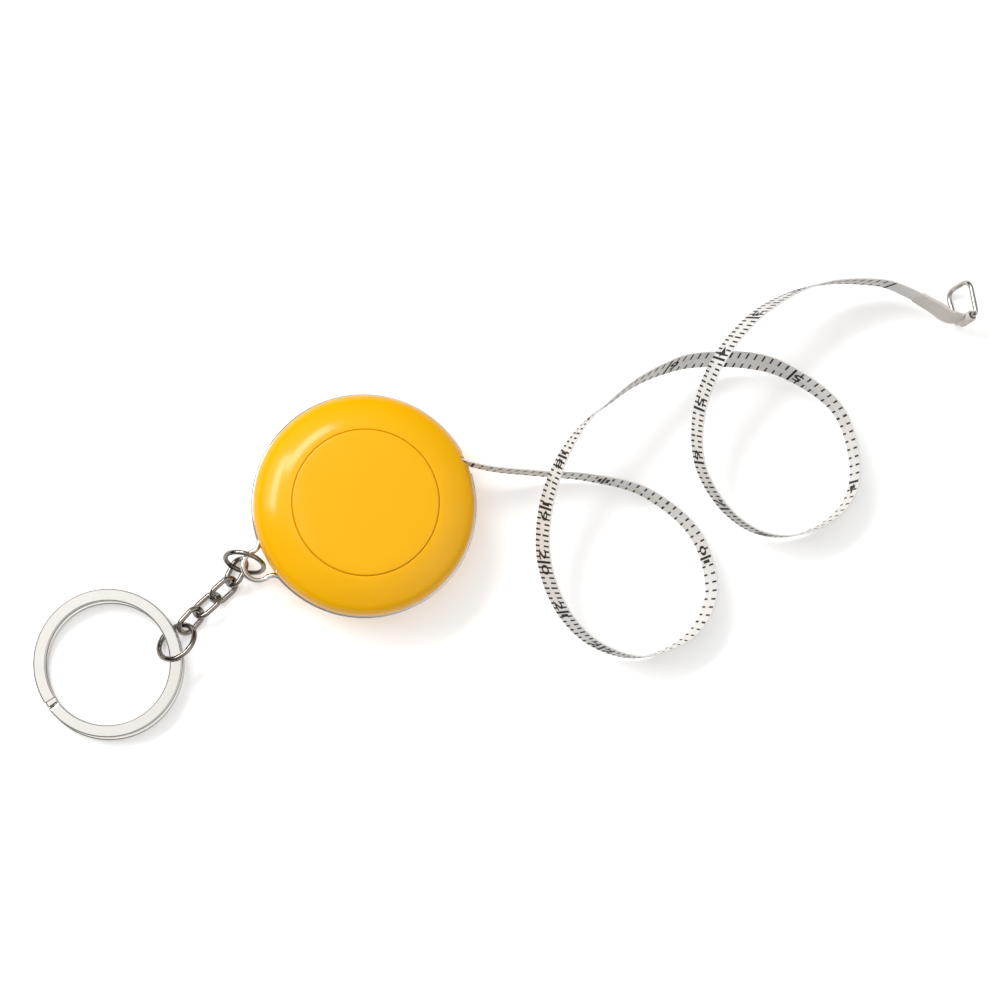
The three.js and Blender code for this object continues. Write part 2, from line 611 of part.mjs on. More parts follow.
// Two turns of flat wire; the lower turn climbs to the upper one over the jog, and across to it.
function splitRing() {
  const turn = 360 - JOG_SPAN - 2;
  const stations = [];
  for (let i = 0; i <= 36; i += 1) stations.push([-turn + turn * i / 36, 0]);
  for (let i = 1; i < 6; i += 1) stations.push([JOG_SPAN * i / 6, THREE.MathUtils.smoothstep(i / 6, 0, 1)]);
  for (let i = 0; i <= 36; i += 1) stations.push([JOG_SPAN + turn * i / 36, 1]);
  const splay = vec(...KEY_RING_SPLAY);
  const points = stations.map(([angle, rise]) => {
    const height = KEY_RING_TURN / 2 + (KEY_RING_TURN + KEY_RING_GAP) * rise;
    return along(polar(bandRadius, KEY_RING_JOG + angle, height), splay, 1 - rise);
  });
  const section = flat(KEY_RING_WIDTH, KEY_RING_TURN, 0.25);
  return swept(points, () => section).applyMatrix4(keyRingPose);
}

function leastSelfGap(points, thickness, turnSteps) {
  let least = Infinity;
  for (let i = 0; i < points.length; i += 1) {
    for (let k = i + turnSteps; k < points.length; k += 1) least = Math.min(least, points[i].distanceTo(points[k]));
  }
  return least - thickness;
}

const spring = mainspringPoints();
const coil = coilPoints();
console.log('least gap, mainspring', leastSelfGap(spring, SPRING_STRIP, 16).toFixed(2));
console.log('least gap, button spring', leastSelfGap(coil, COIL_WIRE, 10).toFixed(2));
console.log('tape outside the case', outsideLength.toFixed(1), 'wound radius', woundRadius.toFixed(2));

addPart('rear_shell', rearShell(), 'yellow');
addPart('front_shell', frontShell(), 'yellow');
addPart('wire_bail', swept(bailPoints(), () => round(BAIL_WIRE)), 'nickel');
addPart('release_button', releaseButton(), 'yellow');
addPart('button_spring', swept(coil, () => round(COIL_WIRE, COIL_WIRE, 6)), 'steel');
addPart('arbor', arbor(), 'nylon');
addPart('cross_pin', rod(PIN_RADIUS, 3 * ARBOR_RADIUS, vec(0, 0, pinHeight), vec(1, 0, 0)), 'steel');
addPart('brake_disc', brakeDisc(), 'nylon');
addPart('reel_drum', reelDrum(), 'nylon');
addPart('reel_cover', reelCover(), 'nylon');
addPart('mainspring', swept(spring, () => strip(SPRING_STRIP, springTop - springBottom)), 'steel');
addPart('wound_tape', woundTape(), 'white');
addPart('free_tape', freeTape(), 'white');
addPart('end_tab', endTab(), 'beige');
addPart('end_ring', pullRing(), 'nickel');
addPart('case_jump_ring', wireRing(caseRing, CASE_RING_RADIUS, CASE_RING_WIRE), 'nickel');
links.forEach((link, i) => addPart(`chain_link_${i + 1}`, chainLink(link), 'nickel'));
addPart('key_jump_ring', wireRing(keyLink, KEY_LINK_RADIUS, KEY_LINK_WIRE), 'nickel');
addPart('split_key_ring', splitRing(), 'nickel');

// Points and axes that the pieces swing on.
const ringTangent = ({ u, v }, degrees) => (
  u.clone().multiplyScalar(-Math.sin(rad(degrees))).addScaledVector(v, Math.cos(rad(degrees))));
const keyRingHold = KEY_LINK_HOLD + 180;
assembly.userData.hinges = {
  end_ring: [PULL_HINGE, PULL_AXIS],
  case_ring: [eyeHold, polar(1, EYE_HOLD + 90)],
  link_1: [chainHold, ringTangent(caseRing, CHAIN_HOLD)],
  link_2: [links[0].hold, links[0].across],
  link_3: [links[1].hold, links[1].across],
  link_4: [links[2].hold, links[2].across],
  key_link: [lastLink.hold, lastLink.across],
  key_ring: [onRing(keyLink, KEY_LINK_RADIUS, keyRingHold), ringTangent(keyLink, keyRingHold)],
};

export default assembly;
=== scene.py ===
"""Dresses a spring-return pocket tape measure on a key chain and sets a white table for it."""

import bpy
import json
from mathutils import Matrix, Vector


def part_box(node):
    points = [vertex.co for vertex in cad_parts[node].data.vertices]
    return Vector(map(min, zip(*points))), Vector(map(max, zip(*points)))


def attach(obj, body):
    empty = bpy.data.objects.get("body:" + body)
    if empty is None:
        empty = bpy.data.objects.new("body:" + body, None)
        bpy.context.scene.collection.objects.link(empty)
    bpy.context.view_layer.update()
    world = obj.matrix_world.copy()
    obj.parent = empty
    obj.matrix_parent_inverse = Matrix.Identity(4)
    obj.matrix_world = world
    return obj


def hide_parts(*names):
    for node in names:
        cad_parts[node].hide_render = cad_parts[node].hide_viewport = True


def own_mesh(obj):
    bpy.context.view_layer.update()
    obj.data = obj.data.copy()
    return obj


bl_info = {
    "name": "Pocket tape measure",
    "version": (1, 0, 0),
    "blender": (4, 5, 0),
    "location": "3D View > Sidebar > Tape measure",
    "description": "Case, printed tape, chain and key ring of a pocket tape measure",
    "category": "Object",
}

import json
import math

import bmesh
import bpy
from mathutils import Matrix, Vector

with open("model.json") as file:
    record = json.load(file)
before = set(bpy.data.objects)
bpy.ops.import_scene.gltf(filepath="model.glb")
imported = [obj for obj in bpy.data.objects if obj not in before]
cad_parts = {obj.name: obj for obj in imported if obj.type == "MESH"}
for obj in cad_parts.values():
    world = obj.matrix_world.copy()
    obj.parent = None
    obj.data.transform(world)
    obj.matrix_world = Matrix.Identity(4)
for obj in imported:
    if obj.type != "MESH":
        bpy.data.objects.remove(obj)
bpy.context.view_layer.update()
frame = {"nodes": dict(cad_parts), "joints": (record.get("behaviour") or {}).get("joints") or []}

UP = Vector((0, 0, 1))

# Middle line of the tape from the mouth into the fold, in metres, and its lean to the left, in degrees.
ROUTE = (
    (0.0187, 0.0081, 0.0077, 0), (0.0236, 0.0071, 0.00745, 0.7), (0.0327, 0.0066, 0.005, 2),
    (0.0422, 0.006, 0.0038, 4.5), (0.0524, 0.0036, 0.0033, 9), (0.0619, -0.004, 0.0032, 11),
    (0.0651, -0.0136, 0.0032, 13), (0.0643, -0.0184, 0.0032, 13), (0.062, -0.0223, 0.0032, 11),
    (0.0585, -0.0251, 0.0033, 7), (0.0512, -0.0274, 0.0037, 1), (0.0428, -0.0249, 0.0047, -8),
    (0.0369, -0.0192, 0.0062, -14), (0.0332, -0.0101, 0.0082, -18), (0.0333, -0.0004, 0.0099, -20),
    (0.0362, 0.0087, 0.0118, -16), (0.0407, 0.0155, 0.0125, -5), (0.0453, 0.0195, 0.0118, 2.5),
    (0.0498, 0.023, 0.0104, 5.5), (0.0554, 0.026, 0.0086, 11), (0.061, 0.0279, 0.0066, 18),
    (0.0728, 0.0283, 0.0047, 21), (0.0798, 0.0263, 0.0042, 14), (0.0893, 0.0195, 0.0035, 8),
    (0.0925, 0.0098, 0.0032, 7), (0.0918, 0.0037, 0.0032, 7), (0.0884, -0.0009, 0.0034, 6),
    (0.0816, -0.0043, 0.0039, 4), (0.0744, -0.0042, 0.0047, 2), (0.0679, -0.0004, 0.006, -2),
    (0.0625, 0.0078, 0.0079, -7), (0.0619, 0.0174, 0.0099, -14), (0.0649, 0.0265, 0.0123, -20),
    (0.0709, 0.0343, 0.0127, -20), (0.0765, 0.0386, 0.0115, -16), (0.0822, 0.0414, 0.0101, -8),
    (0.0878, 0.0429, 0.0086, -4), (0.0944, 0.0433, 0.0073, 0), (0.0986, 0.043, 0.0065, 1),
    (0.1036, 0.0413, 0.0054, 4), (0.1053, 0.04045, 0.0052, 4),
)
# Outer line of the front shell from the rim round the button to the seam: radius and height, in metres.
SHOULDER = (
    (0.01362, 0.01362), (0.0143, 0.0135), (0.015, 0.0133), (0.016, 0.01295), (0.017, 0.0125),
    (0.018, 0.01197), (0.0188, 0.0115), (0.01939, 0.01104), (0.01982, 0.01053), (0.02012, 0.00995),
    (0.02031, 0.00925), (0.02042, 0.0085), (0.02045, 0.00787),
)
# Rounded edge of the button: how far in from its side and how far below the foot of its crown, in metres.
BUTTON_EDGE = ((0, 0.00032), (0.00004, 0.00019), (0.00013, 0.00009), (0.00026, 0.00003), (0.00045, 0))
# Crown of the button: share of its radius, and height above the foot of the crown, in metres.
BUTTON_CROWN = ((0.93, 0.00008), (0.8, 0.00019), (0.6, 0.00029), (0.4, 0.00035), (0.2, 0.00039))
# Where the tape leaves the reel, the middle of its fold, and the bar of the pull ring with its directions.
LEAD_START = Vector((0.005533, 0.013488, 0.0077))
TAB_ROUTE = (Vector((0.1079, 0.03905, 0.0049)), Vector((0.111, 0.03725, 0.00455)))
PULL_HINGE = Vector((0.1141, 0.037, 0.00438))
PULL_AXIS = Vector((0.47, 0.27, 0.84)).normalized()
PULL_SIDE = Vector((-0.17, 0.96, -0.2135)).normalized()
# Two directions in the plane of each jump ring, and the headings of the links in degrees.
CASE_RING_PLANE = (Vector((0.959, -0.282, 0)), Vector((0.106, 0.359, 0.927)))
KEY_LINK_PLANE = (Vector((0.707, 0.707, 0)), Vector((0.491, -0.491, 0.719)))
LINK_HEADINGS = (243, 222.5, 222.5, 229)
# Each scale: its face, from one number to the next, marks to a number, and which marks are bolder and how.
SCALES = {
    "metric": {"side": -1, "spacing": 0.01, "marks": 10, "bold": 5, "thicker": 1.0, "longer": 1.28},
    "inch": {"side": 1, "spacing": 0.0254, "marks": 16, "bold": 8, "thicker": 1.25, "longer": 1.0},
}
# Steps of the round shapes and of the smooth lines.
ROUTE_STEPS = 24
LEAN_SPAN = 9
FOLD_STEPS = 14
SHOULDER_STEPS = 5
INSIDE_STEPS = 20
REAR_STEPS = 36
CORNER_STEPS = 12
TURN_STEPS = 140
JOG_STEPS = 16
COIL_STEPS = 24
WIND_STEPS = 80
# A corner rounded by exactly half a side would leave points on top of each other.
NEARLY_HALF = 0.4999


def length(name, description, default):
    return bpy.props.FloatProperty(
        name=name, description=description, default=default, unit="LENGTH", precision=5)


def angle(name, description, degrees):
    return bpy.props.FloatProperty(
        name=name, description=description, default=math.radians(degrees), subtype="ANGLE", unit="ROTATION")


def colour(name, description, default):
    return bpy.props.FloatVectorProperty(
        name=name, description=description, default=default, size=3, min=0, max=1, subtype="COLOR")


def amount(name, description, default):
    return bpy.props.FloatProperty(name=name, description=description, default=default, min=0)


def count(name, description, default):
    return bpy.props.IntProperty(name=name, description=description, default=default, min=1)


class CaseSizes(bpy.types.PropertyGroup):
    radius: length("Radius", "Outside of the case at the seam", 0.02045)
    seam: length("Seam", "Height of the joint between the shells", 0.00695)
    seam_gap: length("Seam gap", "Gap between the shells", 0.0003)
    groove: length("Groove", "Half the height of the groove for the wire", 0.0008)
    groove_floor: length("Groove floor", "Radius of the bottom of the groove", 0.019605)
    front_inside: length("Front inside", "Inside radius of the front shell", 0.018205)
    rear_inside: length("Rear inside", "Inside radius of the rear shell", 0.017005)
    tongue: length("Tongue", "Outside radius of the tongue inside the front shell", 0.017905)
    tongue_height: length("Tongue height", "How far the tongue stands above the seam", 0.0012)
    floor: length("Floor", "Thickness of the back", 0.0012)
    lip: length("Lip", "Underside of the rim round the button", 0.0133)
    hole: length("Hole", "Radius of the hole for the button", 0.01345)
    socket: length("Socket", "Radius of the seat of the centre post", 0.00285)
    socket_floor: length("Socket floor", "Height of the bottom of that seat", 0.0005)
    chamfer: length("Chamfer", "Broken edge beside the groove", 0.00012)
    rim: length("Rim", "Rounding of the rim round the button", 0.00017)
    slot_width: length("Slot width", "Width of the slot that the tape leaves by", 0.0006)
    slot_height: length("Slot height", "Height of that slot", 0.0063)
    button: length("Button", "Radius of the button", 0.01339)
    button_flange: length("Button flange", "Radius of the flange under the rim", 0.0141)
    button_bottom: length("Button bottom", "Underside of the button", 0.01255)
    button_top: length("Button top", "Height of the crown of the button", 0.01425)
    button_crown: length("Button crown", "How far the crown rises above its foot", 0.0004)
    flange: length("Flange", "Thickness of the button's flange", 0.0005)
    stem: length("Stem", "Radius of the button's stem", 0.0012)
    stem_bottom: length("Stem bottom", "Lower end of that stem", 0.00215)
    spring_wire: length("Spring wire", "Thickness of the wire of the button's spring", 0.0003)
    spring_turns: count("Spring turns", "Turns of the button's spring", 5)
    sides: count("Sides", "Steps round the case", 240)
    yellow: colour("Yellow", "Colour of the case and the button", (0.965, 0.478, 0.0))
    nylon: colour("Nylon", "Colour of the reel, the post and the brake", (0.76, 0.73, 0.64))
    steel: colour("Steel", "Colour of the springs and the pin", (0.34, 0.34, 0.36))


class TapeSizes(bpy.types.PropertyGroup):
    width: length("Width", "Width of the tape", 0.006)
    thickness: length("Thickness", "Thickness of the tape", 0.0003)
    zero: length("Zero", "Where the scale starts, along the tape from the mouth of the case", 0.3061)
    station: length("Station", "Step of the tape's sections", 0.0005)
    tick: length("Tick", "Thickness of a fine mark", 0.00033)
    line: length("Line", "Thickness of a numbered mark", 0.00046)
    long_tick: length("Long tick", "Length of a fine mark on the upper edge", 0.0021)
    short_tick: length("Short tick", "Length of a fine mark on the lower edge", 0.0017)
    digit: length("Digit", "Height of the numbers", 0.003)
    digit_gap: length("Digit gap", "From a numbered mark to its numbers", 0.00045)
    edge: length("Edge", "Bare edge beside the print", 0.00016)
    lift: length("Lift", "Height of the ink over the tape", 0.00002)
    ink_edge: length("Ink edge", "Longest edge of the numbers, so that they follow the tape", 0.0007)
    thread: length("Thread", "Spacing of the threads", 0.00034)
    cloth: colour("Cloth", "Colour of the coated cloth", (0.845, 0.815, 0.78))
    ink: colour("Ink", "Colour of the print", (0.012, 0.011, 0.011))
    tab_width: length("Tab width", "Width of the folded end", 0.0064)
    tab_neck: length("Tab neck", "Width of the fold round the pull ring", 0.0032)
    tab_thickness: length("Tab thickness", "Thickness of the folded end", 0.0007)
    tab_thread: length("Tab thread", "Spacing of the threads of the folded end", 0.0003)
    tab_overlap: length("Tab overlap", "How far the tape runs into the folded end", 0.0009)
    tab_wall: length("Tab wall", "Thickness of the fold round the pull ring", 0.00035)
    tab: colour("Tab", "Colour of the folded end", (0.73, 0.68, 0.62))
    pull_wire: length("Pull ring wire", "Thickness of the pull ring", 0.00084)
    pull_slack: length("Pull ring slack", "Gap between the pull ring and the fold", 0.0003)
    pull_bar: length("Pull ring bar", "Half the length of its bar", 0.0028)
    pull_bow: length("Pull ring bow", "Half its width at the far side", 0.00325)
    pull_reach: length("Pull ring reach", "From its bar to its far side", 0.0067)
    pull_corner: length("Pull ring corner", "Reach of the bends at the bar", 0.0007)
    pull_bend: length("Pull ring bend", "Reach of the bends at the far side", 0.0022)
    wind_inside: length("Wind inside", "Inside of the winding on the reel", 0.00945)
    wind_outside: length("Wind outside", "Outside of the winding on the reel", 0.01398)


class ChainSizes(bpy.types.PropertyGroup):
    bail_radius: length("Bail radius", "Middle of the wire in the seam", 0.0203)
    bail_wire: length("Bail wire", "Thickness of the wire in the seam", 0.001)
    bail_opening: angle("Bail opening", "From the slot to each end of the wire", 6)
    eye_bearing: angle("Eye bearing", "Where the eye stands out of the case", 209.9)
    eye_radius: length("Eye radius", "Radius of the eye", 0.00275)
    eye_reach: length("Eye reach", "From the wire in the seam to the middle of the eye", 0.002055)
    eye_fillet: length("Eye fillet", "Bend where the wire turns out into the eye", 0.002)
    eye_hold: angle("Eye hold", "Bearing of the jump ring on the eye", 144)
    eye_slack: length("Eye slack", "Gap between the eye and the jump ring in it", 0.0003)
    case_ring: length("Case ring", "Radius of the jump ring in the eye", 0.00365)
    case_ring_wire: length("Case ring wire", "Thickness of that ring", 0.0008)
    chain_hold: angle("Chain hold", "Bearing of the chain on that ring", 256)
    link_length: length("Link length", "Length of a link", 0.0062)
    link_width: length("Link width", "Width of a link", 0.0044)
    link_wire: length("Link wire", "Thickness of the wire of a link", 0.0009)
    link_roll: angle("Link roll", "How far each link rolls to one side and the other", 45)
    link_slack: length("Link slack", "Gap between the ends of two links", 0.00026)
    first_slack: length("First slack", "The same for the first link", 0.00125)
    key_link: length("Key link", "Radius of the jump ring at the key ring", 0.00375)
    key_link_wire: length("Key link wire", "Thickness of that ring", 0.0009)
    key_link_slack: length("Key link slack", "Gap between the last link and that ring", 0.00062)
    key_link_hold: angle("Key link hold", "Bearing of the last link on that ring", -22)
    key_ring: length("Key ring", "Outside radius of a turn of the key ring", 0.0136)
    band: length("Band", "Width of its flat wire", 0.00225)
    band_corner: length("Band corner", "Rounding of the edges of its flat wire", 0.00025)
    turn: length("Turn", "Thickness of its flat wire", 0.001)
    turn_gap: length("Turn gap", "Gap between its two turns", 0.00015)
    tilt: angle("Tilt", "How far it is lifted by its jump ring", 4.2)
    heading: angle("Heading", "From its middle to its jump ring", 17.3)
    seat: length("Seat", "How far it is pulled off the middle of its jump ring", 0.0005)
    splay: bpy.props.FloatVectorProperty(
        name="Splay", description="How far the lower turn lies off the upper one",
        default=(0.0002, -0.0006, 0), subtype="TRANSLATION", unit="LENGTH", precision=5)
    jog: angle("Jog", "Where its wire climbs to the second turn", 196.5)
    jog_span: angle("Jog span", "How long that climb is", 8)
    jog_gap: angle("Jog gap", "How far each turn stops short of the climb", 1.2)
    table_gap: length("Table gap", "Clearance under the pieces on the table", 0.00006)
    plating: length("Plating", "What the plating adds to the thickness of a ring or link", 0.0001)
    nickel: colour("Nickel", "Colour of the bright plated wire", (0.74, 0.71, 0.67))
    chain: colour("Chain", "Colour of the darker plate on the rings and links", (0.3, 0.268, 0.24))
    ring_shade: amount("Ring shade", "Brightness of the key ring and the pull ring beside the wire", 0.8)


class StageSettings(bpy.types.PropertyGroup):
    eye: bpy.props.FloatVectorProperty(
        name="Camera", description="Place of the camera", default=(-0.02283, -0.05654, 0.55083),
        subtype="TRANSLATION")
    aim: bpy.props.FloatVectorProperty(
        name="Aim", description="Point in the middle of the view", default=(0.02516, 0.00144, 0.006),
        subtype="TRANSLATION")
    lens: amount("Lens", "Focal length of the camera, in millimetres", 106.92)
    key: amount("Key light", "Power of the low soft light on the left, in watts", 1.15)
    high: amount("High light", "Power of the high soft light at the upper left, in watts", 1.1)
    window: amount("Window", "Brightness of the wide soft window on the left", 1.2)
    fill: amount("Fill", "Brightness of the dim wall on the right", 0.95)
    panel: amount("Panel", "Brightness of the small panel overhead", 0.85)
    sky: amount("Sky", "Strength of the light all round", 0.33)
    table: colour("Table", "Colour of the table", (0.97, 0.965, 0.96))


class Term:
    """A value in a material's nodes. Sums with it add Math nodes."""

    def __init__(self, finish, socket):
        self.finish = finish
        self.socket = socket

    def _math(self, operation, first, second):
        return self.finish.node("ShaderNodeMath", {"operation": operation}, {0: first, 1: second})

    def __add__(self, other):
        return self._math("ADD", self, other)

    def __sub__(self, other):
        return self._math("SUBTRACT", self, other)

    def __rsub__(self, other):
        return self._math("SUBTRACT", other, self)

    def __mul__(self, other):
        return self._math("MULTIPLY", self, other)

    __radd__ = __add__
    __rmul__ = __mul__

    def sine(self):
        return self._math("SINE", self, 0.0)

    def power_of(self, base):
        return self._math("POWER", base, self)

    def limited(self):
        return self._math("MINIMUM", self._math("MAXIMUM", self, 0.0), 1.0)


class Finish:
    """One material: a principled shader and the nodes that feed it."""

    def __init__(self, name, **fixed):
        self.material = bpy.data.materials.new(name)
        self.material.use_nodes = True
        self.tree = self.material.node_tree
        self.shader = self.tree.nodes["Principled BSDF"]
        for socket, value in fixed.items():
            self.feed(socket.replace("_", " ").title().replace("Ior", "IOR"), value)

    @classmethod
    def over(cls, world):
        """The same nodes for the world."""
        finish = cls.__new__(cls)
        finish.tree = world.node_tree
        return finish

    def put(self, socket, value):
        if isinstance(value, Term):
            self.tree.links.new(value.socket, socket)
        else:
            socket.default_value = (*value, 1) if socket.type == "RGBA" and len(value) == 3 else value

    def node(self, kind, settings=None, sockets=None, output=0):
        node = self.tree.nodes.new(kind)
        for key, value in (settings or {}).items():
            if key == "stops":
                for element, (place, grey) in zip(node.color_ramp.elements, value):
                    element.position = place
                    element.color = (grey, grey, grey, 1)
            else:
                setattr(node, key, value)
        for key, value in (sockets or {}).items():
            self.put(node.inputs[key], value)
        return Term(self, node.outputs[output])

    def feed(self, socket, value):
        self.put(self.shader.inputs[socket], value)

    def place(self):
        return self.node("ShaderNodeTexCoord", output=3)

    def noise(self, scale, detail=2.0, stretch=(1, 1, 1)):
        spot = self.node("ShaderNodeMapping", {}, {"Vector": self.place(), "Scale": stretch})
        return self.node("ShaderNodeTexNoise", {}, {"Vector": spot, "Scale": scale, "Detail": detail})

    def blend(self, share, first, second):
        return self.node("ShaderNodeMix", {"data_type": "RGBA"}, {0: share, 6: first, 7: second}, output=2)

    def relief(self, height, strength, distance):
        bump = self.node("ShaderNodeBump", {}, {"Strength": strength, "Distance": distance, "Height": height})
        self.feed("Normal", bump)


def shade(tint, factor):
    return tuple(min(1.0, channel * factor) for channel in tint)


def moulded(name, tint, roughness, grain):
    """Moulded plastic with a thin gloss and a fine grain."""
    finish = Finish(name, specular_ior_level=0.12, coat_roughness=0.16)
    cloud = finish.noise(scale=140.0, detail=3.0)
    finish.feed("Base Color", finish.blend(cloud, shade(tint, 0.965), shade(tint, 1.03)))
    finish.feed("Roughness", roughness - 0.03 + 0.08 * finish.noise(scale=900.0))
    finish.feed("Coat Weight", 0.3 + 0.1 * cloud)
    finish.relief(finish.noise(scale=grain, detail=3.0), strength=0.06, distance=0.00005)
    return finish.material


def plated(name, tint, roughness):
    """Plated or bare metal with faint scratches."""
    finish = Finish(name, metallic=1.0)
    cloud = finish.noise(scale=420.0, detail=3.0)
    finish.feed("Base Color", finish.blend(cloud, shade(tint, 0.93), shade(tint, 1.05)))
    scratch = finish.noise(scale=900.0, detail=2.0, stretch=(1, 9, 3))
    finish.feed("Roughness", roughness + 0.07 * scratch + 0.04 * cloud)
    finish.relief(scratch, strength=0.03, distance=0.00002)
    return finish.material


def woven(name, tint, pitch, strength):
    """Coated cloth: threads along and across the tape, from its own map in metres."""
    finish = Finish(name, sheen_weight=0.05, specular_ior_level=0.35)
    spot = finish.node("ShaderNodeTexCoord", output=2)
    split = {"Vector": spot}
    along = finish.node("ShaderNodeSeparateXYZ", {}, split, 0)
    across = finish.node("ShaderNodeSeparateXYZ", {}, split, 1)
    threads = (along * (math.tau / pitch)).sine() * (across * (math.tau / pitch)).sine()
    cloud = finish.noise(scale=260.0, detail=3.0)
    worn = 0.5 + 0.22 * threads + 0.3 * (cloud - 0.5)
    finish.feed("Base Color", finish.blend(worn, shade(tint, 0.95), shade(tint, 1.035)))
    finish.feed("Roughness", 0.46 + 0.1 * cloud)
    finish.relief(threads, strength, distance=0.00004)
    return finish.material


def printed(name, tint):
    """Flat ink, a little uneven."""
    finish = Finish(name, specular_ior_level=0.15)
    cloud = finish.noise(scale=2600.0, detail=3.0)
    finish.feed("Base Color", finish.blend(cloud, tint, shade(tint, 3.2)))
    finish.feed("Roughness", 0.55 + 0.16 * cloud)
    return finish.material


def link_in(name, mesh):
    piece = bpy.data.objects.new(name, mesh)
    bpy.context.scene.collection.objects.link(piece)
    return piece


def smoothed(mesh, degrees=32):
    mesh.shade_smooth()
    mesh.set_sharp_from_angle(angle=math.radians(degrees))
    return mesh


def build(name, vertices, faces, material):
    """A closed mesh with its faces outward."""
    work = bmesh.new()
    corners = [work.verts.new(vertex) for vertex in vertices]
    for face in faces:
        work.faces.new([corners[i] for i in face])
    bmesh.ops.remove_doubles(work, verts=work.verts, dist=1e-8)
    bmesh.ops.recalc_face_normals(work, faces=work.faces)
    mesh = bpy.data.meshes.new(name)
    work.to_mesh(mesh)
    work.free()
    mesh.materials.append(material)
    return link_in(name, smoothed(mesh))


def turned(name, profile, sides, material, closed=False):
    """A profile of (radius, height) turned round Z. An open one starts and ends on the axis."""
    vertices, rows, faces = [], [], []
    for radius, height in profile:
        steps = 1 if radius < 1e-7 else sides
        rows.append([len(vertices) + i for i in range(steps)])
        for i in range(steps):
            bearing = math.tau * i / sides
            vertices.append((radius * math.cos(bearing), radius * math.sin(bearing), height))
    pairs = list(zip(rows, rows[1:] + rows[:1]))
    for low, high in pairs if closed else pairs[:-1]:
        for i in range(sides):
            k = (i + 1) % sides
            ring = [low[i % len(low)], low[k % len(low)], high[k % len(high)], high[i % len(high)]]
            corners = list(dict.fromkeys(ring))
            if len(corners) > 2:
                faces.append(corners)
    return build(name, vertices, faces, material)


def evaluated(piece, name):
    """What a piece's modifiers make of it, as a plain mesh in a new piece."""
    graph = bpy.context.evaluated_depsgraph_get()
    mesh = bpy.data.meshes.new_from_object(piece.evaluated_get(graph), depsgraph=graph)
    old = piece.data
    bpy.data.objects.remove(piece)
    if isinstance(old, bpy.types.Mesh):
        bpy.data.meshes.remove(old)
    mesh.name = name
    return link_in(name, mesh)


def cut(piece, tool):
    name = piece.name
    change = piece.modifiers.new("Cut", "BOOLEAN")
    change.operation = "DIFFERENCE"
    change.solver = "EXACT"
    change.object = tool
    piece.name = name + "_uncut"
    made = evaluated(piece, name)
    bpy.data.objects.remove(tool)
    smoothed(made.data)
    return made


def dress(piece, body, slot, *nodes):
    """A piece rides on its body and stands for the solids it dresses."""
    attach(piece, body)
    if nodes:
        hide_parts(*nodes)
    return piece


class NodeTree:
    """A Geometry Nodes tree, its inputs by name, and the pieces that it makes."""

    def __init__(self, name, *inputs):
        self.group = bpy.data.node_groups.new(name, "GeometryNodeTree")
        self.group.interface.new_socket(name="Geometry", in_out="OUTPUT", socket_type="NodeSocketGeometry")
        self.keys = {}
        for title, kind in inputs:
            socket = self.group.interface.new_socket(
                name=title, in_out="INPUT", socket_type="NodeSocket" + kind)
            self.keys[title] = socket.identifier
        self.entry = self.group.nodes.new("NodeGroupInput")

    def __getitem__(self, title):
        return self.entry.outputs[title]

    def add(self, kind, settings=None, sockets=None, output=0):
        node = self.group.nodes.new(kind)
        for key, value in (settings or {}).items():
            setattr(node, key, value)
        for key, value in (sockets or {}).items():
            if isinstance(value, bpy.types.NodeSocket):
                self.group.links.new(value, node.inputs[key])
            else:
                node.inputs[key].default_value = value
        return node.outputs[output]

    def math(self, operation, first, second):
        return self.add("ShaderNodeMath", {"operation": operation}, {0: first, 1: second})

    def end(self, geometry):
        whole = self.add("GeometryNodeRealizeInstances", {}, {"Geometry": geometry})
        smooth = self.add("GeometryNodeSetShadeSmooth", {}, {"Geometry": whole})
        painted = self.add("GeometryNodeSetMaterial", {}, {"Geometry": smooth, "Material": self["Material"]})
        last = self.group.nodes.new("NodeGroupOutput")
        self.group.links.new(painted, last.inputs[0])

    def make(self, name, values, points=(), edges=()):
        mesh = bpy.data.meshes.new(name + "_path")
        mesh.from_pydata([tuple(point) for point in points], edges, [])
        piece = link_in(name + "_path", mesh)
        change = piece.modifiers.new("Make", "NODES")
        change.node_group = self.group
        for title, value in values.items():
            change[self.keys[title]] = value
        return evaluated(piece, name)


def wire_tree():
    """Wire of a rounded section along the edges of a mesh."""
    tree = NodeTree(
        "Wire along a path", ("Geometry", "Geometry"), ("Width", "Float"), ("Height", "Float"),
        ("Corner", "Float"), ("Steps", "Int"), ("Level", "Bool"), ("Material", "Material"))
    path = tree.add("GeometryNodeMeshToCurve", {}, {"Mesh": tree["Geometry"]})
    level = tree.add(
        "GeometryNodeSetCurveNormal", {"mode": "Z_UP"}, {"Curve": path, "Selection": tree["Level"]})
    outline = tree.add(
        "GeometryNodeCurvePrimitiveQuadrilateral", {"mode": "RECTANGLE"},
        {"Width": tree["Width"], "Height": tree["Height"]})
    section = tree.add(
        "GeometryNodeFilletCurve", {"mode": "POLY"},
        {"Curve": outline, "Count": tree["Steps"], "Radius": tree["Corner"], "Limit Radius": True})
    tree.end(tree.add(
        "GeometryNodeCurveToMesh", {}, {"Curve": level, "Profile Curve": section, "Fill Caps": True}))
    return tree


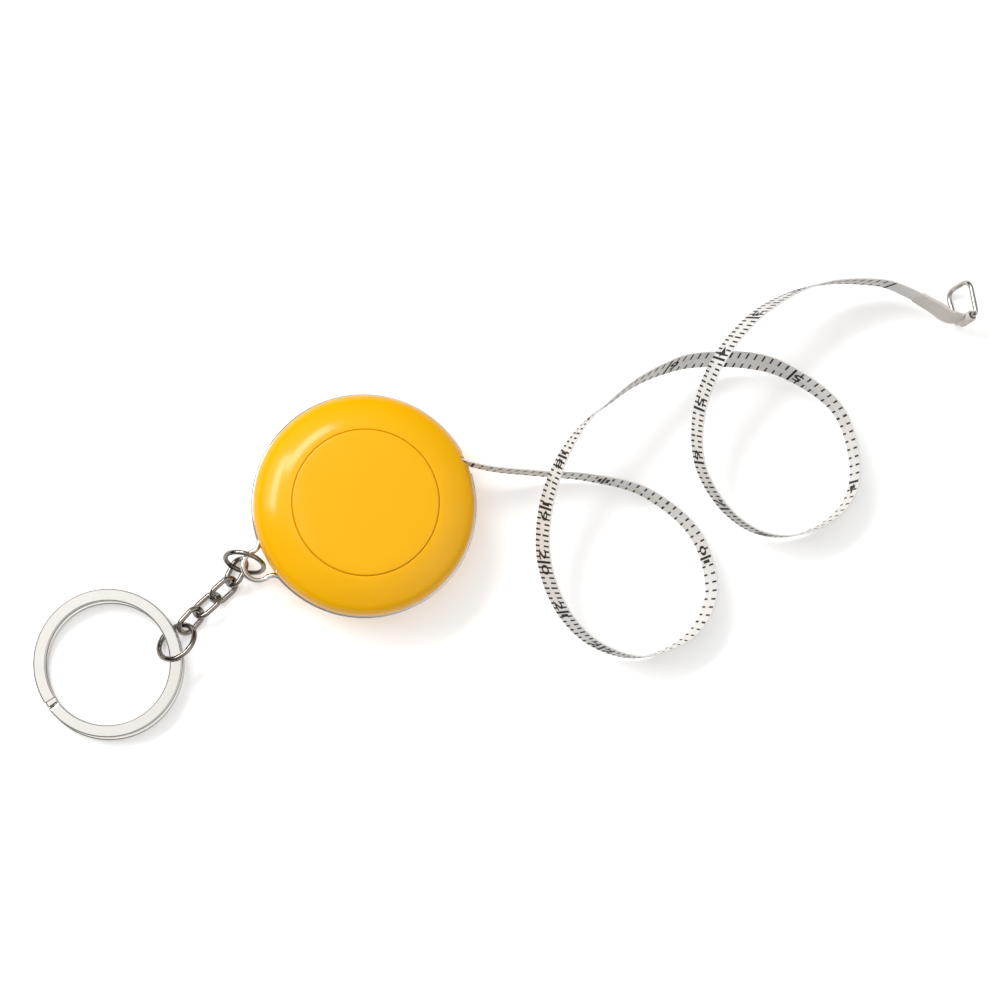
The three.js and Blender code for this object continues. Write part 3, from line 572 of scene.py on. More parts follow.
def link_tree():
    """One chain link, flat, from its length, width and wire."""
    tree = NodeTree(
        "Chain link", ("Length", "Float"), ("Width", "Float"), ("Wire", "Float"), ("Material", "Material"))
    long_side = tree.math("SUBTRACT", tree["Length"], tree["Wire"])
    short_side = tree.math("SUBTRACT", tree["Width"], tree["Wire"])
    outline = tree.add(
        "GeometryNodeCurvePrimitiveQuadrilateral", {"mode": "RECTANGLE"},
        {"Width": long_side, "Height": short_side})
    corner = tree.math("MULTIPLY", short_side, NEARLY_HALF)
    bent = tree.add(
        "GeometryNodeFilletCurve", {"mode": "POLY"},
        {"Curve": outline, "Count": 14, "Radius": corner, "Limit Radius": True})
    section = tree.add(
        "GeometryNodeCurvePrimitiveCircle", {"mode": "RADIUS"},
        {"Resolution": 20, "Radius": tree.math("MULTIPLY", tree["Wire"], 0.5)})
    tree.end(tree.add("GeometryNodeCurveToMesh", {}, {"Curve": bent, "Profile Curve": section}))
    return tree


def ruler_tree():
    """Marks of a scale laid out flat: X along the tape from zero, Y across it."""
    tree = NodeTree(
        "Ruler marks", ("Pitch", "Float"), ("Count", "Int"), ("Width", "Float"), ("Low", "Float"),
        ("High", "Float"), ("Tick", "Float"), ("Line", "Float"), ("Numbered", "Int"), ("Bold", "Int"),
        ("Bold thickness", "Float"), ("Bold length", "Float"), ("Material", "Material"))
    step = tree.add("ShaderNodeCombineXYZ", {}, {"X": tree["Pitch"]})
    spots = tree.add("GeometryNodeMeshLine", {"mode": "OFFSET"}, {"Count": tree["Count"], "Offset": step})
    index = tree.add("GeometryNodeInputIndex")
    numbered = tree.math("LESS_THAN", tree.math("MODULO", index, tree["Numbered"]), 0.5)
    bold = tree.math("LESS_THAN", tree.math("MODULO", index, tree["Bold"]), 0.5)
    plain = tree.math("SUBTRACT", 1.0, numbered)
    square = tree.add(
        "GeometryNodeMeshGrid", {}, {"Size X": 1.0, "Size Y": 1.0, "Vertices X": 2, "Vertices Y": 2})

    def more(factor):
        return tree.math("ADD", 1.0, tree.math("MULTIPLY", bold, tree.math("SUBTRACT", factor, 1.0)))

    def marks(which, thickness, tall, height):
        offset = tree.add("ShaderNodeCombineXYZ", {}, {"Y": height})
        moved = tree.add("GeometryNodeSetPosition", {}, {"Geometry": spots, "Offset": offset})
        size = tree.add("ShaderNodeCombineXYZ", {}, {"X": thickness, "Y": tall, "Z": 1.0})
        return tree.add(
            "GeometryNodeInstanceOnPoints", {},
            {"Points": moved, "Selection": which, "Instance": square, "Scale": size})

    tick = tree.math("MULTIPLY", tree["Tick"], more(tree["Bold thickness"]))
    low = tree.math("MULTIPLY", tree["Low"], more(tree["Bold length"]))
    high = tree.math("MULTIPLY", tree["High"], more(tree["Bold length"]))
    half_width = tree.math("MULTIPLY", tree["Width"], 0.5)
    join = tree.group.nodes.new("GeometryNodeJoinGeometry")
    for geometry in (
        marks(numbered, tree["Line"], tree["Width"], half_width),
        marks(plain, tick, low, tree.math("MULTIPLY", low, 0.5)),
        marks(plain, tick, high, tree.math("SUBTRACT", tree["Width"], tree.math("MULTIPLY", high, 0.5))),
    ):
        tree.group.links.new(geometry, join.inputs[0])
    tree.end(join.outputs[0])
    return tree


def smooth_route(points, steps):
    """A smooth line through points, evenly paced between each two."""
    padded = [2 * points[0] - points[1], *points, 2 * points[-1] - points[-2]]
    line = []
    for a, b, c, d in zip(padded, padded[1:], padded[2:], padded[3:]):
        p, q, r = (max((y - x).length, 1e-9) ** 0.5 for x, y in ((a, b), (b, c), (c, d)))
        out = ((b - a) / p - (c - a) / (p + q) + (c - b) / q) * q
        into = ((c - b) / q - (d - b) / (q + r) + (d - c) / r) * q
        for i in range(steps):
            t = i / steps
            line.append(
                (2 * t**3 - 3 * t**2 + 1) * b + (t**3 - 2 * t**2 + t) * out
                + (3 * t**2 - 2 * t**3) * c + (t**3 - t**2) * into)
    return [*line, points[-1].copy()]


class TapePath:
    """Stations along the tape: middle, upright and right-hand side, by distance from the mouth."""

    def __init__(self, step):
        middles = smooth_route([Vector(point[:3]) for point in ROUTE], ROUTE_STEPS)
        leans = [
            low[3] + (high[3] - low[3]) * i / ROUTE_STEPS
            for low, high in zip(ROUTE, ROUTE[1:]) for i in range(ROUTE_STEPS)]
        leans.append(ROUTE[-1][3])
        lead = (middles[0] - LEAD_START).length
        inside = [LEAD_START.lerp(middles[0], i / ROUTE_STEPS) for i in range(ROUTE_STEPS)]
        line = [*inside, *middles]
        lean_line = [0.0] * ROUTE_STEPS
        for i in range(len(leans)):
            near = leans[max(i - LEAN_SPAN, 0):i + LEAN_SPAN + 1]
            lean_line.append(sum(near) / len(near))
        far = [-lead]
        for a, b in zip(line, line[1:]):
            far.append(far[-1] + (b - a).length)
        total = far[-1] - far[0]
        self.count = int(round(total / step)) + 1
        self.first, self.total = far[0], total
        self.middles, bends, k = [], [], 0
        for i in range(self.count):
            goal = far[0] + total * i / (self.count - 1)
            while k < len(far) - 2 and far[k + 1] < goal:
                k += 1
            t = (goal - far[k]) / (far[k + 1] - far[k])
            self.middles.append(line[k].lerp(line[k + 1], t))
            bends.append(math.radians(lean_line[k] + (lean_line[k + 1] - lean_line[k]) * t))
        self.uprights, self.rights = [], []
        for i, lean in enumerate(bends):
            forward = (self.middles[min(i + 1, self.count - 1)] - self.middles[max(i - 1, 0)]).normalized()
            left = UP.cross(forward).normalized()
            right = forward.cross(math.cos(lean) * UP + math.sin(lean) * left).normalized()
            self.rights.append(right)
            self.uprights.append(right.cross(forward))

    def at(self, far):
        """Middle, upright and right-hand side at a distance from the mouth."""
        place = (far - self.first) / self.total * (self.count - 1)
        i = min(max(int(place), 0), self.count - 2)
        t = place - i
        return tuple(part[i].lerp(part[i + 1], t) for part in (self.middles, self.uprights, self.rights))


def strip_section(thickness, width, steps=3):
    """A flat strip with rounded edges, as (right, up) pairs going round."""
    half = thickness / 2
    points = []
    for side in (1, -1):
        for i in range(steps + 1):
            turn = math.pi * i / steps - (0 if side > 0 else math.pi)
            points.append((half * math.cos(turn), side * (width / 2 - half) + half * math.sin(turn)))
    return points


def strip(name, middles, uprights, sections, material, far):
    """A strip along a line, with a map in metres: along it and across it."""
    vertices, faces, maps = [], [], []
    count_round = len(sections[0])
    for i, (middle, upright, section) in enumerate(zip(middles, uprights, sections)):
        forward = (middles[min(i + 1, len(middles) - 1)] - middles[max(i - 1, 0)]).normalized()
        right = forward.cross(upright).normalized()
        true_up = right.cross(forward)
        for a, b in section:
            vertices.append(middle + right * a + true_up * b)
            maps.append((far[i], b))
    for i in range(len(middles) - 1):
        for k in range(count_round):
            n = (k + 1) % count_round
            here, after = i * count_round, (i + 1) * count_round
            faces.append((here + k, here + n, after + n, after + k))
    last = (len(middles) - 1) * count_round
    faces.append(tuple(range(count_round)))
    faces.append(tuple(last + k for k in range(count_round)))
    mesh = bpy.data.meshes.new(name)
    mesh.from_pydata(vertices, [], faces)
    layer = mesh.uv_layers.new(name="cloth")
    for loop in mesh.loops:
        layer.data[loop.index].uv = maps[loop.vertex_index]
    work = bmesh.new()
    work.from_mesh(mesh)
    bmesh.ops.recalc_face_normals(work, faces=work.faces)
    work.to_mesh(mesh)
    work.free()
    mesh.materials.append(material)
    return link_in(name, smoothed(mesh, degrees=50))


def digit_shape(text, height, finest):
    """One digit as flat triangles: its corners, its faces and its width."""
    digit_share, bolder = 0.72, 0.03
    data = bpy.data.curves.new("digit", "FONT")
    data.body = text
    data.size = height / digit_share
    data.offset = height * bolder
    data.resolution_u = 3
    piece = link_in("digit", data)
    flat = evaluated(piece, "digit_flat")
    bpy.data.curves.remove(data)
    work = bmesh.new()
    work.from_mesh(flat.data)
    bmesh.ops.triangulate(work, faces=work.faces)
    for _ in range(3):
        long_edges = [edge for edge in work.edges if edge.calc_length() > finest]
        if long_edges:
            bmesh.ops.subdivide_edges(work, edges=long_edges, cuts=1)
            bmesh.ops.triangulate(work, faces=work.faces)
    left = min(vertex.co.x for vertex in work.verts)
    low = min(vertex.co.y for vertex in work.verts)
    high = max(vertex.co.y for vertex in work.verts)
    scale = height / (high - low)
    work.verts.index_update()
    corners = [((vertex.co.x - left) * scale, (vertex.co.y - low) * scale) for vertex in work.verts]
    faces = [tuple(vertex.index for vertex in face.verts) for face in work.faces]
    work.free()
    bpy.data.meshes.remove(flat.data)
    return corners, faces, max(x for x, _ in corners)


def number_layout(values, spacing, sizes):
    """Numbers laid out flat at their marks: the first digit before the mark, the second after it."""
    shapes = {text: digit_shape(text, sizes.digit, sizes.ink_edge) for text in "0123456789"}
    vertices, faces = [], []
    low = (sizes.width - sizes.digit) / 2
    for value in values:
        for place, text in enumerate(str(value)):
            corners, shape_faces, wide = shapes[text]
            start = value * spacing + (sizes.digit_gap if place else -sizes.digit_gap - wide)
            faces += [tuple(len(vertices) + i for i in face) for face in shape_faces]
            vertices += [(start + x, low + y) for x, y in corners]
    return vertices, faces


def lay_on_tape(name, vertices, faces, path, sizes, side, material):
    """Wraps flat ink onto one face of the tape: side 1 is the right-hand face, -1 the left."""
    placed = []
    for x, y in vertices:
        middle, upright, right = path.at(sizes.zero - x)
        height = side * (sizes.width / 2 - y)
        placed.append(middle + upright * height + right * side * (sizes.thickness / 2 + sizes.lift))
    mesh = bpy.data.meshes.new(name)
    mesh.from_pydata(placed, [], faces)
    mesh.materials.append(material)
    return link_in(name, mesh)


def eased(t):
    """From 0 to 1 with a level start and end."""
    return t * t * (3 - 2 * t)


def arc(middle, radius, start, end, steps):
    turns = [start + (end - start) * i / steps for i in range(steps + 1)]
    return [middle + radius * Vector((math.cos(turn), math.sin(turn), 0)) for turn in turns]


def polar(radius, bearing, height=0.0):
    return Vector((radius * math.cos(bearing), radius * math.sin(bearing), height))


def bail_line(sizes, seam, slot):
    """The wire round the seam from one side of the slot to the other, out into the eye on the way."""
    reach = sizes.bail_radius + sizes.eye_reach
    to_fillet = sizes.bail_radius + sizes.eye_fillet
    eye_to_fillet = sizes.eye_radius + sizes.eye_fillet
    spread = math.acos((reach**2 + to_fillet**2 - eye_to_fillet**2) / (2 * reach * to_fillet))
    eye = polar(reach, sizes.eye_bearing, seam)
    early = polar(to_fillet, sizes.eye_bearing - spread, seam)
    late = polar(to_fillet, sizes.eye_bearing + spread, seam)

    def bearing(start, end):
        return math.atan2(end.y - start.y, end.x - start.x)

    first_bend = sizes.eye_bearing - spread + math.pi
    first_turn = (bearing(early, eye) - first_bend) % math.tau - math.tau
    eye_start = bearing(eye, early)
    eye_turn = (bearing(eye, late) - eye_start) % math.tau
    last_bend = bearing(late, eye)
    last_turn = (sizes.eye_bearing + spread + math.pi - last_bend) % math.tau - math.tau
    seam_middle = Vector((0, 0, seam))
    wire_start = slot + sizes.bail_opening
    wire_end = slot - sizes.bail_opening + math.tau
    return [
        *arc(seam_middle, sizes.bail_radius, wire_start, sizes.eye_bearing - spread, steps=90)[:-1],
        *arc(early, sizes.eye_fillet, first_bend, first_bend + first_turn, steps=14)[:-1],
        *arc(eye, sizes.eye_radius, eye_start, eye_start + eye_turn, steps=60)[:-1],
        *arc(late, sizes.eye_fillet, last_bend, last_bend + last_turn, steps=14)[:-1],
        *arc(seam_middle, sizes.bail_radius, sizes.eye_bearing + spread, wire_end, steps=70),
    ]


class ChainPlaces:
    """Where the rings and links of the chain lie."""

    def __init__(self, sizes, seam):
        eye = polar(sizes.bail_radius + sizes.eye_reach, sizes.eye_bearing, seam)
        eye_hold = eye + polar(sizes.eye_radius, sizes.eye_hold)
        drop = sizes.case_ring - (sizes.case_ring_wire + sizes.bail_wire) / 2 - sizes.eye_slack
        self.case_middle = eye_hold - CASE_RING_PLANE[1] * drop
        hold = self.on_ring(self.case_middle, CASE_RING_PLANE, sizes.case_ring, sizes.chain_hold)
        reach = (sizes.case_ring_wire + sizes.link_wire) / 2 + sizes.first_slack
        half = (sizes.link_length - sizes.link_wire) / 2
        rise = (sizes.link_width - sizes.link_wire) / 2 * math.sin(sizes.link_roll)
        lift = rise + sizes.link_wire / 2 + sizes.table_gap
        self.links = []
        for i, heading in enumerate(LINK_HEADINGS):
            forward = polar(1, math.radians(heading))
            middle = hold + forward * (half - reach)
            middle.z = lift
            roll = sizes.link_roll if i % 2 == 0 else -sizes.link_roll
            across = UP.cross(forward) * math.cos(roll) + UP * math.sin(roll)
            self.links.append((middle, forward, across))
            hold = middle + forward * half
            reach = sizes.link_wire + sizes.link_slack
        point = hold - forward * ((sizes.link_wire + sizes.key_link_wire) / 2 + sizes.key_link_slack)
        swing = self.on_ring(Vector(), KEY_LINK_PLANE, sizes.key_link, sizes.key_link_hold)
        self.key_middle = point - swing
        self.key_middle.z = sizes.key_link * KEY_LINK_PLANE[1].z + sizes.key_link_wire / 2 + sizes.table_gap
        self.band = sizes.key_ring - sizes.band / 2
        centre = self.key_middle + polar(self.band + sizes.seat, sizes.heading + math.pi)
        centre.z = sizes.key_ring * math.sin(sizes.tilt) + sizes.table_gap
        turned_to = Matrix.Rotation(sizes.heading, 4, "Z") @ Matrix.Rotation(-sizes.tilt, 4, "Y")
        self.ring_pose = Matrix.Translation(centre) @ turned_to

    @staticmethod
    def on_ring(middle, plane, radius, bearing):
        first, second = plane
        return middle + first * (radius * math.cos(bearing)) + second * (radius * math.sin(bearing))

    def ring(self, middle, plane, radius, steps=96):
        return [self.on_ring(middle, plane, radius, math.tau * i / steps) for i in range(steps)]

    def split_ring(self, sizes):
        """Two turns of flat wire; the lower one climbs over and across to the upper one at the jog."""
        turn = math.tau - sizes.jog_span - sizes.jog_gap
        climb = sizes.turn + sizes.turn_gap
        stations = [(-turn + turn * i / TURN_STEPS, 0.0) for i in range(TURN_STEPS + 1)]
        for i in range(1, JOG_STEPS):
            t = i / JOG_STEPS
            stations.append((sizes.jog_span * t, eased(t)))
        stations += [(sizes.jog_span + turn * i / TURN_STEPS, 1.0) for i in range(TURN_STEPS + 1)]
        splay = Vector(sizes.splay)
        return [
            polar(self.band, sizes.jog + bearing, sizes.turn / 2 + climb * rise) + splay * (1 - rise)
            for bearing, rise in stations]


def loop_edges(points, closed):
    edges = [(i, i + 1) for i in range(len(points) - 1)]
    return [*edges, (len(points) - 1, 0)] if closed else edges


def wire(tree, name, points, closed, thickness, material, height=None, corner=None, level=False):
    values = {
        "Width": thickness, "Height": height or thickness, "Corner": corner or thickness * NEARLY_HALF,
        "Steps": 6 if corner is None else 4, "Level": level, "Material": material}
    return tree.make(name, values, points, loop_edges(points, closed))


def shoulder(sizes, outside, top, middle, steps):
    """A quarter of an oval from the outside to the button's hole, as (radius, height) pairs."""
    reach = outside - sizes.hole
    turns = [math.pi / 2 * i / steps for i in range(steps + 1)]
    return [(sizes.hole + reach * math.cos(turn), middle + (top - middle) * math.sin(turn)) for turn in turns]


class StageOperator(bpy.types.Operator):
    """Camera, soft light and a white table"""

    bl_idname = "tape_measure.stage"
    bl_label = "Stage"

    def execute(self, context):
        settings = context.scene.tape_stage
        self.camera(context, settings)
        self.light("key_light", settings.key, place=(-0.424, 0.162, 0.369), size=(0.3, 0.09))
        self.light("high_light", settings.high, place=(-0.238, 0.308, 0.446), size=(0.28, 0.09))
        self.sky(context, settings)
        self.table(settings)
        context.scene.view_settings.view_transform = "Standard"
        return {"FINISHED"}

    def camera(self, context, settings):
        data = bpy.data.cameras.new("camera")
        data.sensor_width = 36
        data.lens = settings.lens
        data.clip_start = 0.01
        camera = link_in("camera", data)
        eye, aim = Vector(settings.eye), Vector(settings.aim)
        back = (eye - aim).normalized()
        up = (Vector((0, 1, 0)) - back * back.y).normalized()
        right = up.cross(back)
        camera.matrix_world = Matrix.Translation(eye) @ Matrix((right, up, back)).transposed().to_4x4()
        context.scene.camera = camera

    def light(self, name, power, place, size):
        data = bpy.data.lights.new(name, "AREA")
        data.energy = power
        data.shape = "RECTANGLE"
        data.size, data.size_y = size
        lamp = link_in(name, data)
        lamp.location = place
        target = Vector((0.02, 0, 0))
        lamp.rotation_euler = (target - Vector(place)).to_track_quat("-Z", "Y").to_euler()

    def sky(self, context, settings):
        """A room, dark below, with a soft window on the left, a dim wall on the right and a panel above."""
        world = bpy.data.worlds.new("studio")
        context.scene.world = world
        world.use_nodes = True
        room = Finish.over(world)
        way = room.node("ShaderNodeTexCoord")
        height = room.node("ShaderNodeSeparateXYZ", {}, {"Vector": way}, 2)
        ramp = {"stops": ((0.3, 0.04), (0.62, 1.0))}
        dim = settings.sky * room.node("ShaderNodeValToRGB", ramp, {"Fac": height})

        def toward(zenith, bearing):
            fall, turn = math.radians(zenith), math.radians(bearing)
            aim = polar(math.sin(fall), turn, math.cos(fall))
            return room.node("ShaderNodeVectorMath", {"operation": "DOT_PRODUCT"}, {0: way, 1: aim}, 1)

        def glow(strength, zenith, bearing, width):
            sharpness = 2 / math.radians(width) ** 2
            return strength * ((toward(zenith, bearing) - 1.0) * sharpness).power_of(math.e)

        window = glow(settings.window, zenith=34, bearing=132, width=24)
        wall = glow(settings.fill, zenith=50, bearing=-25, width=35)
        panel_edge, panel_blur = math.cos(math.radians(10)), 0.008
        near = toward(zenith=15.5, bearing=178)
        panel = settings.panel * ((near - panel_edge) * (1 / panel_blur)).limited()
        background = world.node_tree.nodes["Background"]
        room.put(background.inputs["Color"], (1, 1, 1))
        room.put(background.inputs["Strength"], dim + (window + wall) + panel)

    def table(self, settings):
        """A white sheet that the camera sees a little paler than it is lit."""
        half, low = 3, -0.00005
        pale_share, white_share = 0.42, 0.3
        finish = Finish("table", roughness=0.9, specular_ior_level=0.1)
        cloud = finish.noise(scale=14.0)
        tint = settings.table
        finish.feed("Base Color", finish.blend(cloud, shade(tint, 0.99), shade(tint, 1.01)))
        seen = finish.node("ShaderNodeLightPath", output=0)
        glossy = finish.node("ShaderNodeLightPath", output=3)
        white = finish.node("ShaderNodeEmission", {}, {"Color": (1, 1, 1), "Strength": 1.0})
        pale = finish.blend(seen, (0, 0, 0), shade(tint, pale_share))
        paler = finish.node("ShaderNodeBsdfDiffuse", {}, {"Color": pale})
        lit = finish.node("ShaderNodeAddShader", {}, {0: Term(finish, finish.shader.outputs[0]), 1: paler})
        share = white_share * seen + white_share * glossy
        mixed = finish.node("ShaderNodeMixShader", {}, {0: share, 1: lit, 2: white})
        finish.put(finish.tree.nodes["Material Output"].inputs["Surface"], mixed)
        mesh = bpy.data.meshes.new("table")
        corners = [(-half, -half, low), (half, -half, low), (half, half, low), (-half, half, low)]
        mesh.from_pydata(corners, [], [(0, 1, 2, 3)])
        mesh.materials.append(finish.material)
        link_in("table", mesh)


class TapeOperator(bpy.types.Operator):
    """The printed tape outside the case, its folded end and its pull ring"""

    bl_idname = "tape_measure.tape"
    bl_label = "Tape"

    def execute(self, context):
        sizes = context.scene.tape_sizes
        path = TapePath(sizes.station)
        tape = self.tape(path, sizes)
        ink = self.scales(path, sizes)
        tab = self.tab(path, sizes)
        ring = self.pull_ring(context, sizes)
        return {"FINISHED"}

    def tape(self, path, sizes):
        cloth = woven("white_coated_cloth", sizes.cloth, pitch=sizes.thread, strength=0.25)
        section = strip_section(sizes.thickness, sizes.width)
        far = [path.first + path.total * i / (path.count - 1) for i in range(path.count)]
        tape = strip("free_tape_cloth", path.middles, path.uprights, [section] * path.count, cloth, far)
        return dress(tape, "case", "tape", "free_tape")

    def scales(self, path, sizes):
        """The marks and numbers, centimetres on one face and inches on the other."""
        ink = printed("black_ink", sizes.ink)
        tree = ruler_tree()
        pieces = []
        reach = sizes.zero - path.first
        for unit, scale in SCALES.items():
            side, spacing, marks = scale["side"], scale["spacing"], scale["marks"]
            pitch = spacing / marks
            low, high = sizes.short_tick, sizes.long_tick
            if side > 0:
                low, high = high, low
            values = {
                "Pitch": pitch, "Count": int(reach / pitch), "Width": sizes.width - 2 * sizes.edge,
                "Low": low, "High": high, "Tick": sizes.tick, "Line": sizes.line, "Numbered": marks,
                "Bold": scale["bold"], "Bold thickness": scale["thicker"], "Bold length": scale["longer"],
                "Material": ink}
            flat = tree.make(unit + "_flat", values, [(0, 0, 0)])
            corners = [(vertex.co.x, vertex.co.y + sizes.edge) for vertex in flat.data.vertices]
            faces = [tuple(face.vertices) for face in flat.data.polygons]
            bpy.data.objects.remove(flat)
            numbers, number_faces = number_layout(range(1, int(reach / spacing)), spacing, sizes)
            faces += [tuple(len(corners) + i for i in face) for face in number_faces]
            piece = lay_on_tape(unit + "_print", corners + numbers, faces, path, sizes, side, ink)
            pieces.append(dress(piece, "case", "tape"))
        return pieces

    def tab(self, path, sizes):
        """The end of the tape folded back on itself, narrowed to a loop round the pull ring."""
        cloth = woven("beige_fold", sizes.tab, pitch=sizes.tab_thread, strength=0.2)
        hole = sizes.pull_wire / 2 + sizes.pull_slack
        wall = sizes.tab_wall
        inward = (TAB_ROUTE[-1] - PULL_HINGE).normalized()
        start = path.at(path.first + path.total - sizes.tab_overlap)[0]
        points = [start, *TAB_ROUTE, PULL_HINGE + inward * (hole + wall / 2)]
        middles = smooth_route(points, FOLD_STEPS)
        spans, narrow_from, map_length = len(points) - 1, 1.9, 0.01
        early_turn, last_span = 0.1, 2
        upright = path.uprights[-1]
        sections, uprights, far = [], [], []
        for i in range(len(middles)):
            t = i / FOLD_STEPS
            narrow = eased(max(t - narrow_from, 0) / (spans - narrow_from))
            wide = sizes.tab_width + (sizes.tab_neck - sizes.tab_width) * narrow
            sections.append(strip_section(sizes.tab_thickness, wide, steps=5))
            twist = early_turn * min(t, last_span)
            if t >= last_span:
                twist += (1 - twist) * narrow
            uprights.append(upright.lerp(PULL_AXIS, twist))
            far.append(map_length * t / spans)
        leaf = strip("end_tab_leaf", middles, uprights, sections, cloth, far)
        half, edge_start = 0.5, 0.42
        outer, broken = hole + wall, hole + wall * 0.85
        profile = [
            (hole, -half), (broken, -half), (outer, -edge_start),
            (outer, edge_start), (broken, half), (hole, half)]
        section = [(radius, height * sizes.tab_neck) for radius, height in profile]
        loop = turned("end_tab_loop", section, 48, cloth, closed=True)
        along_bar = UP.rotation_difference(PULL_AXIS).to_matrix().to_4x4()
        loop.data.transform(Matrix.Translation(PULL_HINGE) @ along_bar)
        loop.data.uv_layers.new(name="cloth")
        return self.joined("end_tab_fold", leaf, loop)

    def joined(self, name, leaf, loop):
        with bpy.context.temp_override(active_object=leaf, selected_editable_objects=[leaf, loop]):
            bpy.ops.object.join()
        leaf.name = name
        return dress(leaf, "case", "tape_end", "end_tab")

    def pull_ring(self, context, sizes):
        chain = context.scene.tape_chain
        metal = plated("pull_ring_nickel", shade(chain.nickel, chain.ring_shade), roughness=0.1)
        bar, bow, reach = sizes.pull_bar, sizes.pull_bow, sizes.pull_reach
        corners = [
            (-bar, 0, sizes.pull_corner), (bar, 0, sizes.pull_corner),
            (bow, reach, sizes.pull_bend), (-bow, reach, sizes.pull_bend)]
        points = []
        for i, (x, y, radius) in enumerate(corners):
            here = Vector((x, y))
            before = (Vector(corners[i - 1][:2]) - here).normalized() * radius + here
            after = (Vector(corners[(i + 1) % len(corners)][:2]) - here).normalized() * radius + here
            for k in range(CORNER_STEPS + 1):
                t = k / CORNER_STEPS
                spot = before * (1 - t) ** 2 + here * (2 * t * (1 - t)) + after * t**2
                points.append(PULL_HINGE + PULL_AXIS * spot.x + PULL_SIDE * spot.y)
        ring = wire(wire_tree(), "pull_ring_wire", points, True, sizes.pull_wire + chain.plating, metal)
        return dress(ring, "pull_ring", "nickel", "end_ring")


class CaseOperator(bpy.types.Operator):
    """The two shells of the case, with the groove for the wire and the slot for the tape"""

    bl_idname = "tape_measure.case"
    bl_label = "Case"

    def execute(self, context):
        sizes = context.scene.tape_case
        plastic = moulded("yellow_case", sizes.yellow, roughness=0.22, grain=1500.0)
        dress(self.front(sizes, plastic), "case", "case", "front_shell")
        dress(self.rear(sizes, plastic), "case", "case", "rear_shell")
        return {"FINISHED"}

    def slot(self, sizes):
        """A block as big as the slot, lying along the tape where it passes the wall."""
        mouth = Vector(ROUTE[0][:3])
        run = mouth - LEAD_START
        middle, reach = LEAD_START.lerp(mouth, 0.8), 0.9 * run.length
        work = bmesh.new()
        bmesh.ops.create_cube(work, size=1.0)
        mesh = bpy.data.meshes.new("slot")
        work.to_mesh(mesh)
        work.free()
        place = Matrix.Translation(middle) @ Matrix.Rotation(math.atan2(run.y, run.x), 4, "Z")
        mesh.transform(place @ Matrix.Diagonal((reach, sizes.slot_width, sizes.slot_height, 1)))
        return link_in("slot", mesh)

    def front(self, sizes, plastic):
        low = sizes.seam + sizes.groove
        line = smooth_route([Vector(point) for point in SHOULDER], SHOULDER_STEPS)
        outside = [(point.x, point.y) for point in line][::-1]
        top = outside[-1][1]
        rounded = (sizes.hole + 0.3 * sizes.rim, top - 0.2 * sizes.rim)
        rim = [rounded, (sizes.hole, top - sizes.rim), (sizes.hole, sizes.lip)]
        inside = shoulder(sizes, sizes.front_inside, sizes.lip, low, INSIDE_STEPS)[:-1]
        foot = sizes.seam + sizes.seam_gap / 2
        profile = [(sizes.front_inside, foot), (sizes.groove_floor, foot), (sizes.groove_floor, low),
                   (sizes.radius - sizes.chamfer, low), *outside, *rim, *inside[::-1]]
        shell = turned("front_shell_moulding", profile, sizes.sides, plastic, closed=True)
        return cut(shell, self.slot(sizes))

    def rear(self, sizes, plastic):
        high = sizes.seam - sizes.groove
        outside = shoulder(sizes, sizes.radius, 0.0, high, REAR_STEPS)
        inside = shoulder(sizes, sizes.rear_inside, sizes.floor, high, INSIDE_STEPS)
        top = sizes.seam - sizes.seam_gap / 2
        tongue = sizes.seam + sizes.tongue_height
        profile = [
            (0, 0), *outside[:1:-1], (sizes.radius, high - sizes.chamfer),
            (sizes.radius - sizes.chamfer, high), (sizes.groove_floor, high), (sizes.groove_floor, top),
            (sizes.tongue, top), (sizes.tongue, tongue), (sizes.rear_inside, tongue), *inside,
            (sizes.socket, sizes.floor), (sizes.socket, sizes.socket_floor), (0, sizes.socket_floor)]
        shell = turned("rear_shell_moulding", profile, sizes.sides, plastic)
        return cut(shell, self.slot(sizes))


class ButtonOperator(bpy.types.Operator):
    """The release button"""

    bl_idname = "tape_measure.button"
    bl_label = "Button"

    def execute(self, context):
        sizes = context.scene.tape_case
        plastic = moulded("yellow_button", sizes.yellow, roughness=0.3, grain=2600.0)
        flange_top = sizes.button_bottom + sizes.flange
        foot = sizes.button_top - sizes.button_crown
        edge = [(sizes.button - inset, foot - drop) for inset, drop in BUTTON_EDGE]
        crown = [(sizes.button * share, foot + rise) for share, rise in BUTTON_CROWN]
        profile = [
            (0, sizes.stem_bottom), (sizes.stem, sizes.stem_bottom), (sizes.stem, sizes.button_bottom),
            (sizes.button_flange, sizes.button_bottom), (sizes.button_flange, flange_top),
            (sizes.button, flange_top), *edge, *crown, (0, sizes.button_top)]
        button = turned("release_button_moulding", profile, sizes.sides, plastic)
        dress(button, "button", "button", "release_button")
        return {"FINISHED"}


